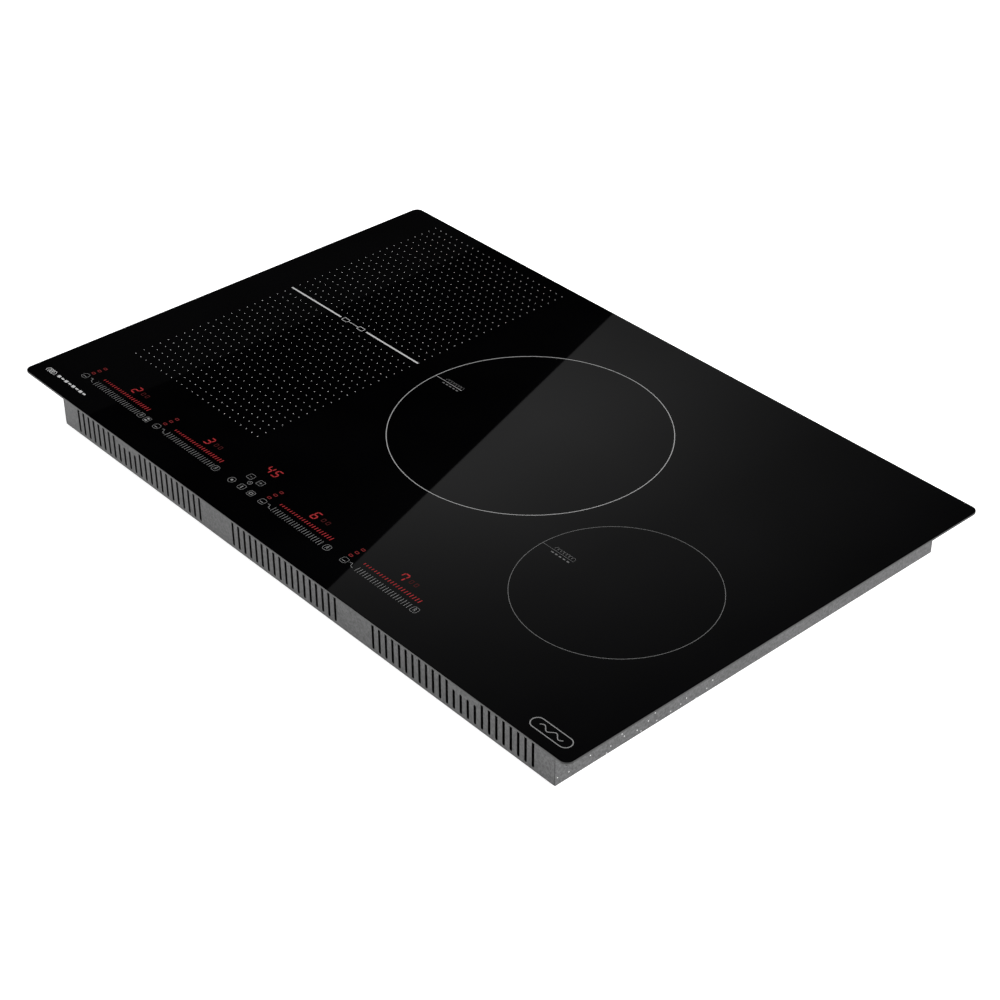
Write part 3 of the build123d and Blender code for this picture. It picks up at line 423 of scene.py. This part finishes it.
WIRE_R = 0.00196
TURN_PITCH = 2.08 * WIRE_R  # a turn's width, and a little room
EYES = {  # half sizes of each winding's eye, and its corners and the rim's, in metres
    "rear_left": (0.030, 0.018, 0.012, 0.040), "front_left": (0.030, 0.018, 0.012, 0.040),
    "centre": (0.022, 0.022, 0, 0), "right": (0.022, 0.022, 0, 0),
}
for zone, (eye_x, eye_y, eye_corner, rim_corner) in EYES.items():
    dress(former, zone + "_coil_carrier")
    dress(mica, zone + "_coil_mica")
    low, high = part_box(zone + "_coil_winding")
    rim_x, rim_y, _ = (high - low) / 2
    shapes = ((eye_x + WIRE_R, eye_y + WIRE_R, eye_corner),
              (rim_x - WIRE_R, rim_y - WIRE_R, rim_corner))
    eye, rim = [oblong(half_x, half_y, corner) if corner else arc(0, 0, half_x, half_y, TURN_POINTS)
                for half_x, half_y, corner in shapes]
    at = np.arange(int((rim_x - eye_x) / TURN_PITCH) * TURN_POINTS + 1)
    share = (at / at[-1])[:, None]
    flat = (1 - share) * eye[at % TURN_POINTS] + share * rim[at % TURN_POINTS]
    middle = (low + high) / 2
    path = np.c_[flat + middle[:2], np.full(len(flat), middle.z)]
    ahead = np.gradient(path, axis=0)
    across = np.c_[-ahead[:, 1], ahead[:, 0], ahead[:, 2]]
    across /= np.linalg.norm(ahead, axis=1, keepdims=True)
    upright = np.tile((0.0, 0.0, 1.0), (len(path), 1))
    wound = tube(zone + "_winding", path, across, upright, WIRE_R, 0.006, coil_wire)
    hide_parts(zone + "_coil_winding")

sensor = finish("sensor_ceramic", Roughness=0.35)
sensor_grain = grain(sensor, 500)
tint(sensor, sensor_grain, (0.3, (0.74, 0.73, 0.69)), (0.7, (0.82, 0.81, 0.78)))
dress(sensor, "coil_sensors")

# ---- Wiring ----
# Sleeved coil leads rise from the boards to the coils, and a flat grey cable joins the
# power board to the control board.
sleeve = finish("lead_sleeve", Roughness=0.6)
braid = grain(sleeve, 1200, stretch=(1, 1, 0.4))
tint(sleeve, braid, (0.3, (0.30, 0.03, 0.02)), (0.7, (0.48, 0.06, 0.04)))
relief(sleeve, braid, 0.0001)
dress(sleeve, "coil_leads")

flat_cable = finish("flat_cable", Roughness=0.45)
cores = step(flat_cable, "TexWave", {"Vector": place(flat_cable), "Scale": 250.0},
             wave_type="BANDS", bands_direction="X").outputs["Fac"]
tint(flat_cable, cores, (0.2, (0.36, 0.37, 0.39)), (0.8, (0.52, 0.53, 0.55)))
relief(flat_cable, cores, 0.0003)
dress(flat_cable, "ribbon_cable")

# ---- Displays ----
# Lamp modules with red diffusing caps stand on the control board just under the glass.
lamp = finish("lamp_cap", Roughness=0.3, Coat_Weight=0.2)
lamp_grain = grain(lamp, 400)
tint(lamp, lamp_grain, (0.3, (0.20, 0.008, 0.008)), (0.7, (0.28, 0.014, 0.012)))
dress(lamp, "digit_displays", "level_displays")

# ---- Seal and bead ----
# A matt closed-cell foam strip lies under the overhanging glass, to seal it to the
# worktop, and a bead of black silicone bonds the glass to the support frame.
foam = finish("seal_foam", Roughness=0.9)
cells = step(foam, "TexVoronoi", {"Vector": place(foam), "Scale": 1400.0}).outputs["Distance"]
tint(foam, cells, (0.1, (0.012, 0.012, 0.012)), (0.9, (0.035, 0.035, 0.035)))
relief(foam, cells, 0.0002)
dress(foam, "worktop_seal")

silicone = finish("bead_silicone", Roughness=0.4)
silicone_grain = grain(silicone, 120)
tint(silicone, silicone_grain, (0.3, (0.02, 0.02, 0.02)), (0.7, (0.035, 0.035, 0.035)))
relief(silicone, silicone_grain, 0.0002)
dress(silicone, "silicone_bead")

# ---- Glass ----
# One 4 mm plate of black glass ceramic, polished on top, with a ground edge whose
# lower corner is bevelled.
glass = finish("black_glass", IOR=1.5)
film = grain(glass, 6, detail=2)
tint(glass, film, (0.3, (0.0004, 0.0004, 0.0005)), (0.7, (0.0010, 0.0010, 0.0012)))
facing = step(glass, "TexCoord").outputs["Normal"]
upright = step(glass, "SeparateXYZ", {"Vector": facing}).outputs["Z"]
vary(glass, upright, "Roughness", 0.35, 0.015, near=0.8, far=0.97)
dress(glass, "glass_plate")
glass_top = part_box("glass_plate")[1].z

# ---- Zone rings ----
# Thin enamel rings, screen-printed and fired on the glass, mark the two round zones,
# each with a leader line and a small coil sign.
MM = 0.001
ENAMEL = 0.00003  # how far a print stands above the glass, and how far it reaches into it
PRINT_UP, PRINT_DOWN = (glass_top + ENAMEL) / MM, (glass_top - ENAMEL) / MM
SHARPEST = 0.4  # the least cosine that widens a line at its corners


def enamel(name, dark, light):
    """Fired enamel: satin, with the faint speckle of the screen."""
    made = finish(name, Roughness=0.55)
    speckle = grain(made, 1800, detail=1)
    tint(made, speckle, (0.35, dark), (0.65, light))
    return made


def solid(name, points, faces, made, slot):
    """A new piece of the cooktop, from corner points in millimetres from the glass's centre."""
    mesh = bpy.data.meshes.new(name)
    mesh.from_pydata((np.asarray(points) * MM).tolist(), [], faces)
    fitted(mesh, made)


def band(path, width, closed=False):
    """A flat line: every point of the path moves half the width to each side, along the mean
    of its two neighbours' normals, and both rails get an upper and a lower edge."""
    path = np.asarray(path, float)
    ahead = np.roll(path, -1, 0) - path
    if not closed:
        ahead[-1] = ahead[-2]
    ahead /= np.linalg.norm(ahead, axis=1, keepdims=True)
    behind = np.roll(ahead, 1, 0)
    if not closed:
        behind[0] = ahead[0]
    mean = ahead + behind
    mean /= np.linalg.norm(mean, axis=1, keepdims=True)
    spread = np.broadcast_to(width, len(path)) / 2 / np.maximum((mean * ahead).sum(1), SHARPEST)
    side = np.c_[-mean[:, 1], mean[:, 0]] * spread[:, None]
    rails = [(path + side, PRINT_UP), (path - side, PRINT_UP),
             (path - side, PRINT_DOWN), (path + side, PRINT_DOWN)]
    points = np.stack([np.c_[xy, np.full(len(path), z)] for xy, z in rails], 1).reshape(-1, 3)
    count = len(path) if closed else len(path) - 1
    here = np.arange(count)[:, None] * 4 + np.arange(4)
    there = (here + 4) % (4 * len(path))
    quads = np.stack([here, np.roll(here, -1, 1), np.roll(there, -1, 1), there], -1).reshape(-1, 4)
    ends = [] if closed else [[3, 2, 1, 0], [4 * count + i for i in range(4)]]
    return points, quads.tolist() + ends


def tiles(outlines):
    """Flat tiles: each outline, counterclockwise, is the upper and lower face of a thin prism."""
    outlines = np.asarray(outlines, float)
    count, corners = outlines.shape[:2]
    upper = np.concatenate([outlines, np.full((count, corners, 1), PRINT_UP)], 2)
    lower = np.concatenate([outlines, np.full((count, corners, 1), PRINT_DOWN)], 2)
    points = np.concatenate([upper, lower], 1).reshape(-1, 3)
    first = np.arange(count)[:, None] * 2 * corners
    top = first + np.arange(corners)
    below = top + corners
    walls = np.stack([top, below, np.roll(below, -1, 1), np.roll(top, -1, 1)], -1).reshape(-1, 4)
    return points, top.tolist() + below[:, ::-1].tolist() + walls.tolist()


def merged(shapes):
    """Several point and face lists as one."""
    points, faces, start = [], [], 0
    for more_points, more_faces in shapes:
        points.append(more_points)
        faces += [[start + i for i in face] for face in more_faces]
        start += len(more_points)
    return np.concatenate(points), faces


def rounded(x, y, half_x, half_y, radius, count=6):
    """A rounded rectangle: four quarter circles at its corners, joined by straight sides."""
    inner_x, inner_y = half_x - radius, half_y - radius
    return np.concatenate([
        arc(x + sx * inner_x, y + sy * inner_y, radius, radius, count, a, a + 90)
        for sx, sy, a in CORNERS
    ])


def coil_sign(x, y, length, height, loops):
    """A row of loops: an upright ellipse's points carried sideways at an even rate."""
    t = np.linspace(0, 1, 12 * loops)
    turn = 2 * pi * loops * t
    wide, tall = height * 0.35, height / 2
    return np.c_[x + length * t - wide * np.sin(turn), y - tall * np.cos(turn)]


RING_GREY = enamel("ring_enamel", (0.28, 0.28, 0.28), (0.37, 0.37, 0.37))
DIM_GREY = enamel("dim_enamel", (0.10, 0.10, 0.10), (0.15, 0.15, 0.15))
ZONES = {  # centre, radius, line width, enamel, and its leader's two ends and height
    "large_zone_ring": (28.0, 42.0, 139.2, 0.75, RING_GREY, (-111.0, -72.0, 41.0)),
    "small_zone_ring": (264.0, -72.0, 94.8, 0.5, DIM_GREY, (169.5, 209.0, -72.0)),
}
for name, (x, y, radius, width, grey, (x0, x1, y0)) in ZONES.items():
    signs = [band(coil_sign(x1 - 26, y0 + 3.4, 25, 3.0, 7), 0.3),
             tiles([rounded(x1 - 23.5 + 5 * i, y0 - 3.4, 1.5, 0.7, 0.3, 2) for i in range(5)])]
    lines = [band(arc(x, y, radius, radius, 256), width, True),
             band([(x0, y0), (x1, y0)], width * 0.7)]
    solid(name, *merged(lines), grey, "white_enamel")
    solid(name.replace("ring", "sign"), *merged(signs), DIM_GREY, "white_enamel")

# ---- Flexible zone ----
# Forty rows of small enamel dots cover the two linked coils, with a bar in two halves
# between them and a sign of two linked fields in the bar's gap.
DOT_GREY = enamel("dot_enamel", (0.56, 0.56, 0.56), (0.74, 0.74, 0.74))
BAR_GREY = enamel("bar_enamel", (0.42, 0.42, 0.42), (0.52, 0.52, 0.52))
SIGN_GREY = enamel("sign_enamel", (0.17, 0.17, 0.17), (0.23, 0.23, 0.23))
DIVIDER_Y = 42.25
dot = arc(0, 0, 0.45, 0.45, 8)
dot_x = np.linspace(-348.75, -141.75, 24)
for name, ends in {"rear_zone_dots": (52.0, 243.0), "front_zone_dots": (-159.0, 31.75)}.items():
    centres = np.stack(np.meshgrid(dot_x, np.linspace(*ends, 20)), -1).reshape(-1, 1, 2)
    solid(name, *tiles(centres + dot), DOT_GREY, "white_enamel")
halves = [band([(start, DIVIDER_Y), (end, DIVIDER_Y)], 2.0)
          for start, end in ((-350.0, -266.0), (-224.0, -140.75))]
fields = [band(rounded(x, DIVIDER_Y, 4.2, 2.6, 0.8, 3), 0.6, True) for x in (-258.0, -233.0)]
link = [band([(-253.8, DIVIDER_Y), (-237.2, DIVIDER_Y)], 0.6)]
solid("zone_divider", *merged(halves + fields + link), BAR_GREY, "white_enamel")

# ---- Key prints ----
# Each slider has a zone key, a slide sign, a row of ticks and a boost key. The timer's and
# the general keys stand between the second and third sliders, and a key that links the
# flexible zone's two fields between the first and second.
KEY_GREY = enamel("key_enamel", (0.18, 0.18, 0.18), (0.26, 0.26, 0.26))
KEY_Y = -221.0
UPPER_Y = -204.5
CLOCK_Y = -211.5
TICKS = 21
SLIDER_KEYS = {  # zone key, slide sign, first and last tick, boost key
    "first": (-346.5, -335.0, -327.5, -255.5, -248.5),
    "second": (-221.5, -210.0, -203.5, -131.0, -124.5),
    "third": (-51.0, -40.5, -34.5, 36.5, 45.5),
    "fourth": (70.5, 80.5, 89.0, 160.0, 167.5),
}


def slide_sign(x):
    """A short zigzag, the sign for sliding a finger."""
    return band([(x - 4, KEY_Y + 1.5), (x - 1, KEY_Y + 2.2),
                 (x + 0.5, KEY_Y - 1.5), (x + 4, KEY_Y - 2.2)], 0.4)


def outlined(x, y, half_x, half_y, corner):
    """A key: a thin line round a rounded rectangle."""
    return band(rounded(x, y, half_x, half_y, corner), 0.3, True)


def chevron(x, y):
    """Half of the boost sign: two strokes that meet at the top."""
    return band([(x - 1.2, y), (x, y + 2.4), (x + 1.2, y)], 0.35)


tick = np.array([(-0.2, -3.5), (0.2, -3.5), (0.2, 3.5), (-0.2, 3.5)])
for name, (zone_x, slide_x, first, last, boost_x) in SLIDER_KEYS.items():
    ticks_at = np.linspace(first, last, TICKS)[:, None, None] * (1, 0) + (0, KEY_Y)
    shapes = [
        tiles(ticks_at + tick),
        outlined(zone_x, KEY_Y, 3.8, 3.7, 2.3),
        band([(zone_x - 2.2, KEY_Y - 1.0), (zone_x + 2.2, KEY_Y - 1.0)], 0.6),
        slide_sign(slide_x),
        outlined(boost_x, KEY_Y, 3.8, 3.7, 2.3),
        chevron(boost_x, KEY_Y - 1.8),
        chevron(boost_x, KEY_Y + 0.2),
    ]
    solid(name + "_slider_print", *merged(shapes), KEY_GREY, "white_enamel")

timer = [  # minus, plus, clock, round, bar and frame keys, and the key that links two fields
    outlined(-90.5, UPPER_Y, 3.7, 3.6, 1.6),
    band([(-92.0, UPPER_Y), (-89.0, UPPER_Y)], 0.4),
    outlined(-75.5, UPPER_Y, 3.7, 3.6, 1.6),
    band([(-77.0, UPPER_Y), (-74.0, UPPER_Y)], 0.4),
    band([(-75.5, UPPER_Y - 1.5), (-75.5, UPPER_Y + 1.5)], 0.4),
    band(arc(-83.0, CLOCK_Y, 2.4, 2.4, 20), 0.35, True),
    band([(-83.0, CLOCK_Y + 1.3), (-83.0, CLOCK_Y), (-81.8, CLOCK_Y)], 0.35),
    band(arc(-98.5, KEY_Y, 3.9, 3.9, 28), 0.3, True),
    tiles([arc(-98.5, KEY_Y, 1.4, 1.4, 12)]),
    outlined(-83.0, KEY_Y, 3.8, 3.6, 1.6),
    band([(-83.0, KEY_Y - 2.0), (-83.0, KEY_Y + 2.0)], 1.0),
    outlined(-68.5, KEY_Y, 3.8, 3.6, 1.6),
    band(rounded(-68.5, KEY_Y, 1.7, 1.4, 0.4), 0.6, True),
    outlined(-238.0, KEY_Y, 3.6, 3.8, 1.3),
    tiles([rounded(-238.0, KEY_Y + y, 1.7, 0.9, 0.3, 2) for y in (1.6, -1.6)]),
]
solid("timer_key_prints", *merged(timer), KEY_GREY, "white_enamel")

# ---- Corner marks ----
# Two plain enamel marks at the front corners: a coil sign before a row of short rules on
# the left, and a ring round a wave on the right.
MARK_Y = -241.5
rules = [rounded(-363 + 6.4 * i, MARK_Y, 2.3, 1.7 - i % 2 * 0.7, 0.5, 2) for i in range(8)]
mark = [band(coil_sign(-383, MARK_Y, 12, 5.6, 4), 0.6), tiles(rules)]
solid("left_corner_mark", *merged(mark), BAR_GREY, "white_enamel")
RING_X, RING_Y = 363.5, -242.0
WAVE_LENGTH, WAVE_HEIGHT = 14.0, 2.2
along = np.linspace(-WAVE_LENGTH, WAVE_LENGTH, 48)
wave = np.c_[RING_X + along, RING_Y + WAVE_HEIGHT * np.sin(along * 2 * pi / WAVE_LENGTH)]
mark = [band(rounded(RING_X, RING_Y, 22.6, 6.4, 6.39, 12), 0.9, True), band(wave, 0.8)]
solid("right_corner_mark", *merged(mark), SIGN_GREY, "white_enamel")

# ---- Lit figures ----
# The lamps under the glass show through it: for each slider a figure, a row of level
# segments, three small status marks and, after the figure, two more on standby that glow
# faintly; and the timer's two figures.


def light(name, colour, strength):
    """Red light through the glass, a little uneven as from single lamps."""
    made = finish(name, Base_Color=(0.02, 0.0, 0.0), Roughness=0.3, Emission_Color=colour)
    vary(made, grain(made, 260, detail=1), "Emission Strength", strength * 0.75, strength * 1.2)
    return made


FIGURE_RED = light("figure_light", (1.0, 0.08, 0.09), 0.34)
LEVEL_RED = light("level_light", (1.0, 0.08, 0.09), 0.36)
STATUS_RED = light("status_light", (1.0, 0.12, 0.13), 0.16)
FAINT_RED = light("standby_light", (1.0, 0.25, 0.25), 0.035)
SEGMENTS = {  # each figure's bars, with the bars lettered as below
    "2": "ABGED", "3": "ABGCD", "4": "FGBC", "5": "AFGCD", "6": "AFGECD", "7": "ABCF",
}
BARS = {  # where a bar starts, in widths and half heights, and whether it runs across or up
    "A": (0, 2, 1, 0), "G": (0, 1, 1, 0), "D": (0, 0, 1, 0),
    "F": (0, 1, 0, 1), "B": (1, 1, 0, 1), "E": (0, 0, 0, 1), "C": (1, 0, 0, 1),
}


def figure(digit, x, y):
    """Seven-segment bars, each a six-sided sliver between its two tips, and all of them
    leaning to the right by a share of their height."""
    wide, tall, thick, slant, gap = 6.0, 10.0, 1.3, 0.14, 0.25
    slivers = []
    for key in SEGMENTS[digit]:
        i, j, across, up = BARS[key]
        start = np.array([i * wide, j * tall / 2])
        along = np.array([across * wide, up * tall / 2])
        unit = along / np.linalg.norm(along)
        side = np.array([-unit[1], unit[0]]) * thick / 2
        tip, end = start + unit * gap, start + along - unit * gap
        inner, outer = tip + unit * thick / 2, end - unit * thick / 2
        slivers.append([tip, inner - side, outer - side, end, outer + side, inner + side])
    outlines = np.array(slivers) - (wide / 2, tall / 2)
    outlines[..., 0] += outlines[..., 1] * slant
    return tiles(outlines + (x, y))


FIGURES = {"first_figure": ("2", -289.0, -198.0), "second_figure": ("3", -166.0, -198.0),
           "timer_tens": ("4", -88.0, -184.0), "timer_units": ("5", -77.5, -184.0),
           "third_figure": ("6", 0.2, -198.0), "fourth_figure": ("7", 125.0, -198.0)}
for name, (digit, x, y) in FIGURES.items():
    solid(name, *figure(digit, x, y), FIGURE_RED, "lamp_red")
    if not name.startswith("timer"):
        beside = [band(rounded(x + dx, y + 0.5, 1.5, 2.2, 0.5, 3), 0.7, True)
                  for dx in (10.5, 17.0)]
        solid(name + "_standby", *merged(beside), FAINT_RED, "lamp_red")

LEVEL_HALF, LEVEL_LEAN, LEVEL_Y = 0.42, 0.5, -212.6
low = np.full(TICKS, LEVEL_Y)
high = low + np.linspace(2.6, 5.0, TICKS)
LEVELS = {  # first and last segment, status marks
    "first": (-326.5, -251.5, -345.0), "second": (-203.5, -130.0, -219.5),
    "third": (-35.5, 38.0, -51.5), "fourth": (87.0, 161.5, 69.0),
}
for name, (start, end, status_x) in LEVELS.items():
    x = np.linspace(start, end, TICKS)
    left, right = x - LEVEL_HALF, x + LEVEL_HALF
    outlines = np.stack([np.c_[left, low], np.c_[right, low],
                         np.c_[right + LEVEL_LEAN, high], np.c_[left + LEVEL_LEAN, high]], 1)
    solid(name + "_level_light", *tiles(outlines), LEVEL_RED, "lamp_red")
    marks = [band(rounded(status_x + 0.6 * i, -212.5 + 6.6 * i, 1.9, 1.2, 0.5, 3), 0.7, True)
             for i in range(3)]
    solid(name + "_status_light", *merged(marks), STATUS_RED, "lamp_red")

# ---- Floor, lights and camera ----
# A plain pale floor that only shows from above, and two softboxes. Cards that only
# reflections see put a straight-edged sheen on the right of the glass, a fainter one on its
# left, and one seen from above; the backdrop gives the sheen seen from the rear.


def surface_from(made, source):
    """Feeds a material's surface."""
    made.node_tree.links.new(source, made.node_tree.nodes["Material Output"].inputs["Surface"])


floor_made = finish("pale_floor", Base_Color=(0.8, 0.8, 0.8), Roughness=0.9,
                    Emission_Color=(1.0, 1.0, 1.0), Emission_Strength=0.85)
pass_through = step(floor_made, "BsdfTransparent").outputs[0]
from_below = step(floor_made, "NewGeometry").outputs["Backfacing"]
upper = floor_made.node_tree.nodes["Principled BSDF"].outputs[0]
one_sided = step(floor_made, "MixShader", {0: from_below, 1: upper, 2: pass_through}).outputs[0]
surface_from(floor_made, one_sided)
FLOOR_HALF, FLOOR_Z = 8.0, -0.0004
floor_corners = [(sx * FLOOR_HALF, sy * FLOOR_HALF, FLOOR_Z) for sx, sy, _ in CORNERS]
floor_mesh = bpy.data.meshes.new("studio_floor")
floor_mesh.from_pydata(floor_corners, [], [(0, 1, 2, 3)])
floor_mesh.materials.append(floor_made)
floor = bpy.data.objects.new("studio_floor", floor_mesh)
bpy.context.scene.collection.objects.link(floor)

EYE = Vector((1.3325, -1.1614, 1.1669 + glass_top))
AZIMUTH, ELEVATION, ROLL = radians(48.26), radians(35.11), radians(-0.14)
FOCAL = 2.1969  # the focal length, in widths of the view
toward = Vector((-sin(AZIMUTH) * cos(ELEVATION), cos(AZIMUTH) * cos(ELEVATION), -sin(ELEVATION)))
across = toward.cross(Vector((0, 0, 1))).normalized()
upward = across.cross(toward)
right = across * cos(ROLL) + upward * sin(ROLL)
top = upward * cos(ROLL) - across * sin(ROLL)
camera = bpy.data.objects.new("camera", bpy.data.cameras.new("camera"))
camera.matrix_world = Matrix((right, top, -toward)).transposed().to_4x4()
camera.location = EYE
camera.data.sensor_width = 36.0
camera.data.lens = FOCAL * camera.data.sensor_width
camera.data.clip_end = 50.0
bpy.context.scene.collection.objects.link(camera)
bpy.context.scene.camera = camera


def soft_light(name, spot, aim, size, power):
    """A square softbox that looks at a point; it lights the cooktop but isn't mirrored in it."""
    lamp_data = bpy.data.lights.new(name, "AREA")
    lamp_data.shape = "SQUARE"
    lamp_data.size = size
    lamp_data.energy = power
    box = bpy.data.objects.new(name, lamp_data)
    box.location = spot
    box.rotation_euler = (Vector(aim) - Vector(spot)).to_track_quat("-Z", "Y").to_euler()
    box.visible_glossy = False
    bpy.context.scene.collection.objects.link(box)


soft_light("overhead_softbox", (0.3, -0.3, 3.2), (0, 0, 0), 3.6, 90)
soft_light("side_softbox", (3.2, 0.4, 0.9), (0, 0, 0.05), 1.6, 118)

CARD_REACH = 2.5  # card's distance from the eye's mirror image, over the glass's distance
CARD_GRID = 41  # a card's points each way


def card(name, outline, glow, eye=EYE):
    """A level card above the glass. The eye's mirror image below the glass, a point of the
    outline on the glass, and that point's place on the card are in line; glow gives the
    card's light at a point of the glass, for a grid over the outline's four corners."""
    a, b, c, d = (np.array(p, float) for p in outline)
    u, v = np.meshgrid(np.linspace(0, 1, CARD_GRID), np.linspace(0, 1, CARD_GRID))
    u, v = u[..., None], v[..., None]
    spots = (1 - v) * ((1 - u) * a + u * b) + v * ((1 - u) * d + u * c)
    below = np.array(eye[:2])
    flat = below + (spots * MM - below) * CARD_REACH
    height = glass_top + (CARD_REACH - 1) * (eye[2] - glass_top)
    points = np.concatenate([flat, np.full((CARD_GRID, CARD_GRID, 1), height)], 2).reshape(-1, 3)
    steps = np.arange(CARD_GRID - 1)
    first = (steps[:, None] * CARD_GRID + steps).reshape(-1, 1)
    quads = first + np.array([0, 1, CARD_GRID + 1, CARD_GRID])
    mesh = bpy.data.meshes.new(name)
    mesh.from_pydata(points.tolist(), [], quads.tolist())
    shade = mesh.attributes.new("glow", "FLOAT", "POINT")
    shade.data.foreach_set("value", glow(spots[..., 0], spots[..., 1]).ravel().astype(np.float32))
    made = bpy.data.materials.new(name)
    made.use_nodes = True
    made.node_tree.nodes.remove(made.node_tree.nodes["Principled BSDF"])
    level = step(made, "Attribute", attribute_name="glow").outputs["Fac"]
    surface_from(made, step(made, "Emission", {"Strength": level}).outputs[0])
    mesh.materials.append(made)
    board = bpy.data.objects.new(name, mesh)
    bpy.context.scene.collection.objects.link(board)
    board.visible_camera = board.visible_diffuse = board.visible_shadow = False


MIRRORED = 0.083  # the share of a card's light that the glass mirrors to the eye


def right_glow(x, y):
    """The sheen falls off evenly, in straight runs, from the card's left edge to its right,
    and by up to 0.42 of itself towards both ends."""
    sheen = np.interp(x, (30, 70, 220, 390), (0.0225, 0.0205, 0.0100, 0.0033))
    return sheen / MIRRORED * (1 - 0.42 * np.clip((np.abs(y) - 70) / 180, 0, 1))


def left_glow(x, y):
    """The same faint light all over."""
    return np.full(x.shape, 0.012222)


def top_glow(x, y):
    """A faint sheen seen from above, fading evenly from the rear right to the front left."""
    return 0.08 + 0.4 * np.clip((x + y + 700) / 1600, 0, 1)


card("right_card", [(100, -275), (460, -275), (460, 300), (-94, 300)], right_glow)
card("left_card", [(-480, -300), (-283, -300), (-283, 300), (-480, 300)], left_glow)
card("top_card", [(-480, -340), (480, -340), (480, 340), (-480, 340)], top_glow, (0.0, 0.0, 2.2))

world = bpy.data.worlds.new("studio")
world.use_nodes = True
bpy.context.scene.world = world
SOFT = 0.3  # the backdrop's light on matt surfaces
HORIZON = 0.9  # its brightness low down, where polished surfaces mirror it
BEHIND = 0.3  # and its brightness behind the camera
heading = step(world, "TexCoord").outputs["Generated"]
rise = step(world, "SeparateXYZ", {"Vector": heading}).outputs["Z"]
knobs = {0: heading, 1: (toward.x, toward.y, 0.0)}
onward = step(world, "VectorMath", knobs, operation="DOT_PRODUCT").outputs["Value"]
low_band = carry(world, rise, 0.12, 0.02, 0.0, HORIZON)
high_band = carry(world, onward, 0.15, -0.75, 0.0, BEHIND)
ray = step(world, "LightPath").outputs
soft = reckon(world, "MULTIPLY", ray["Is Diffuse Ray"], SOFT)
mirrored = reckon(world, "MAXIMUM", low_band, high_band)
shine = reckon(world, "MULTIPLY_ADD", ray["Is Glossy Ray"], mirrored, soft)
lit = reckon(world, "MAXIMUM", ray["Is Camera Ray"], shine)
backdrop = world.node_tree.nodes["Background"]
backdrop.inputs["Color"].default_value = (1.0, 1.0, 1.0, 1.0)
world.node_tree.links.new(lit, backdrop.inputs["Strength"])
bpy.context.scene.view_settings.view_transform = "Standard"
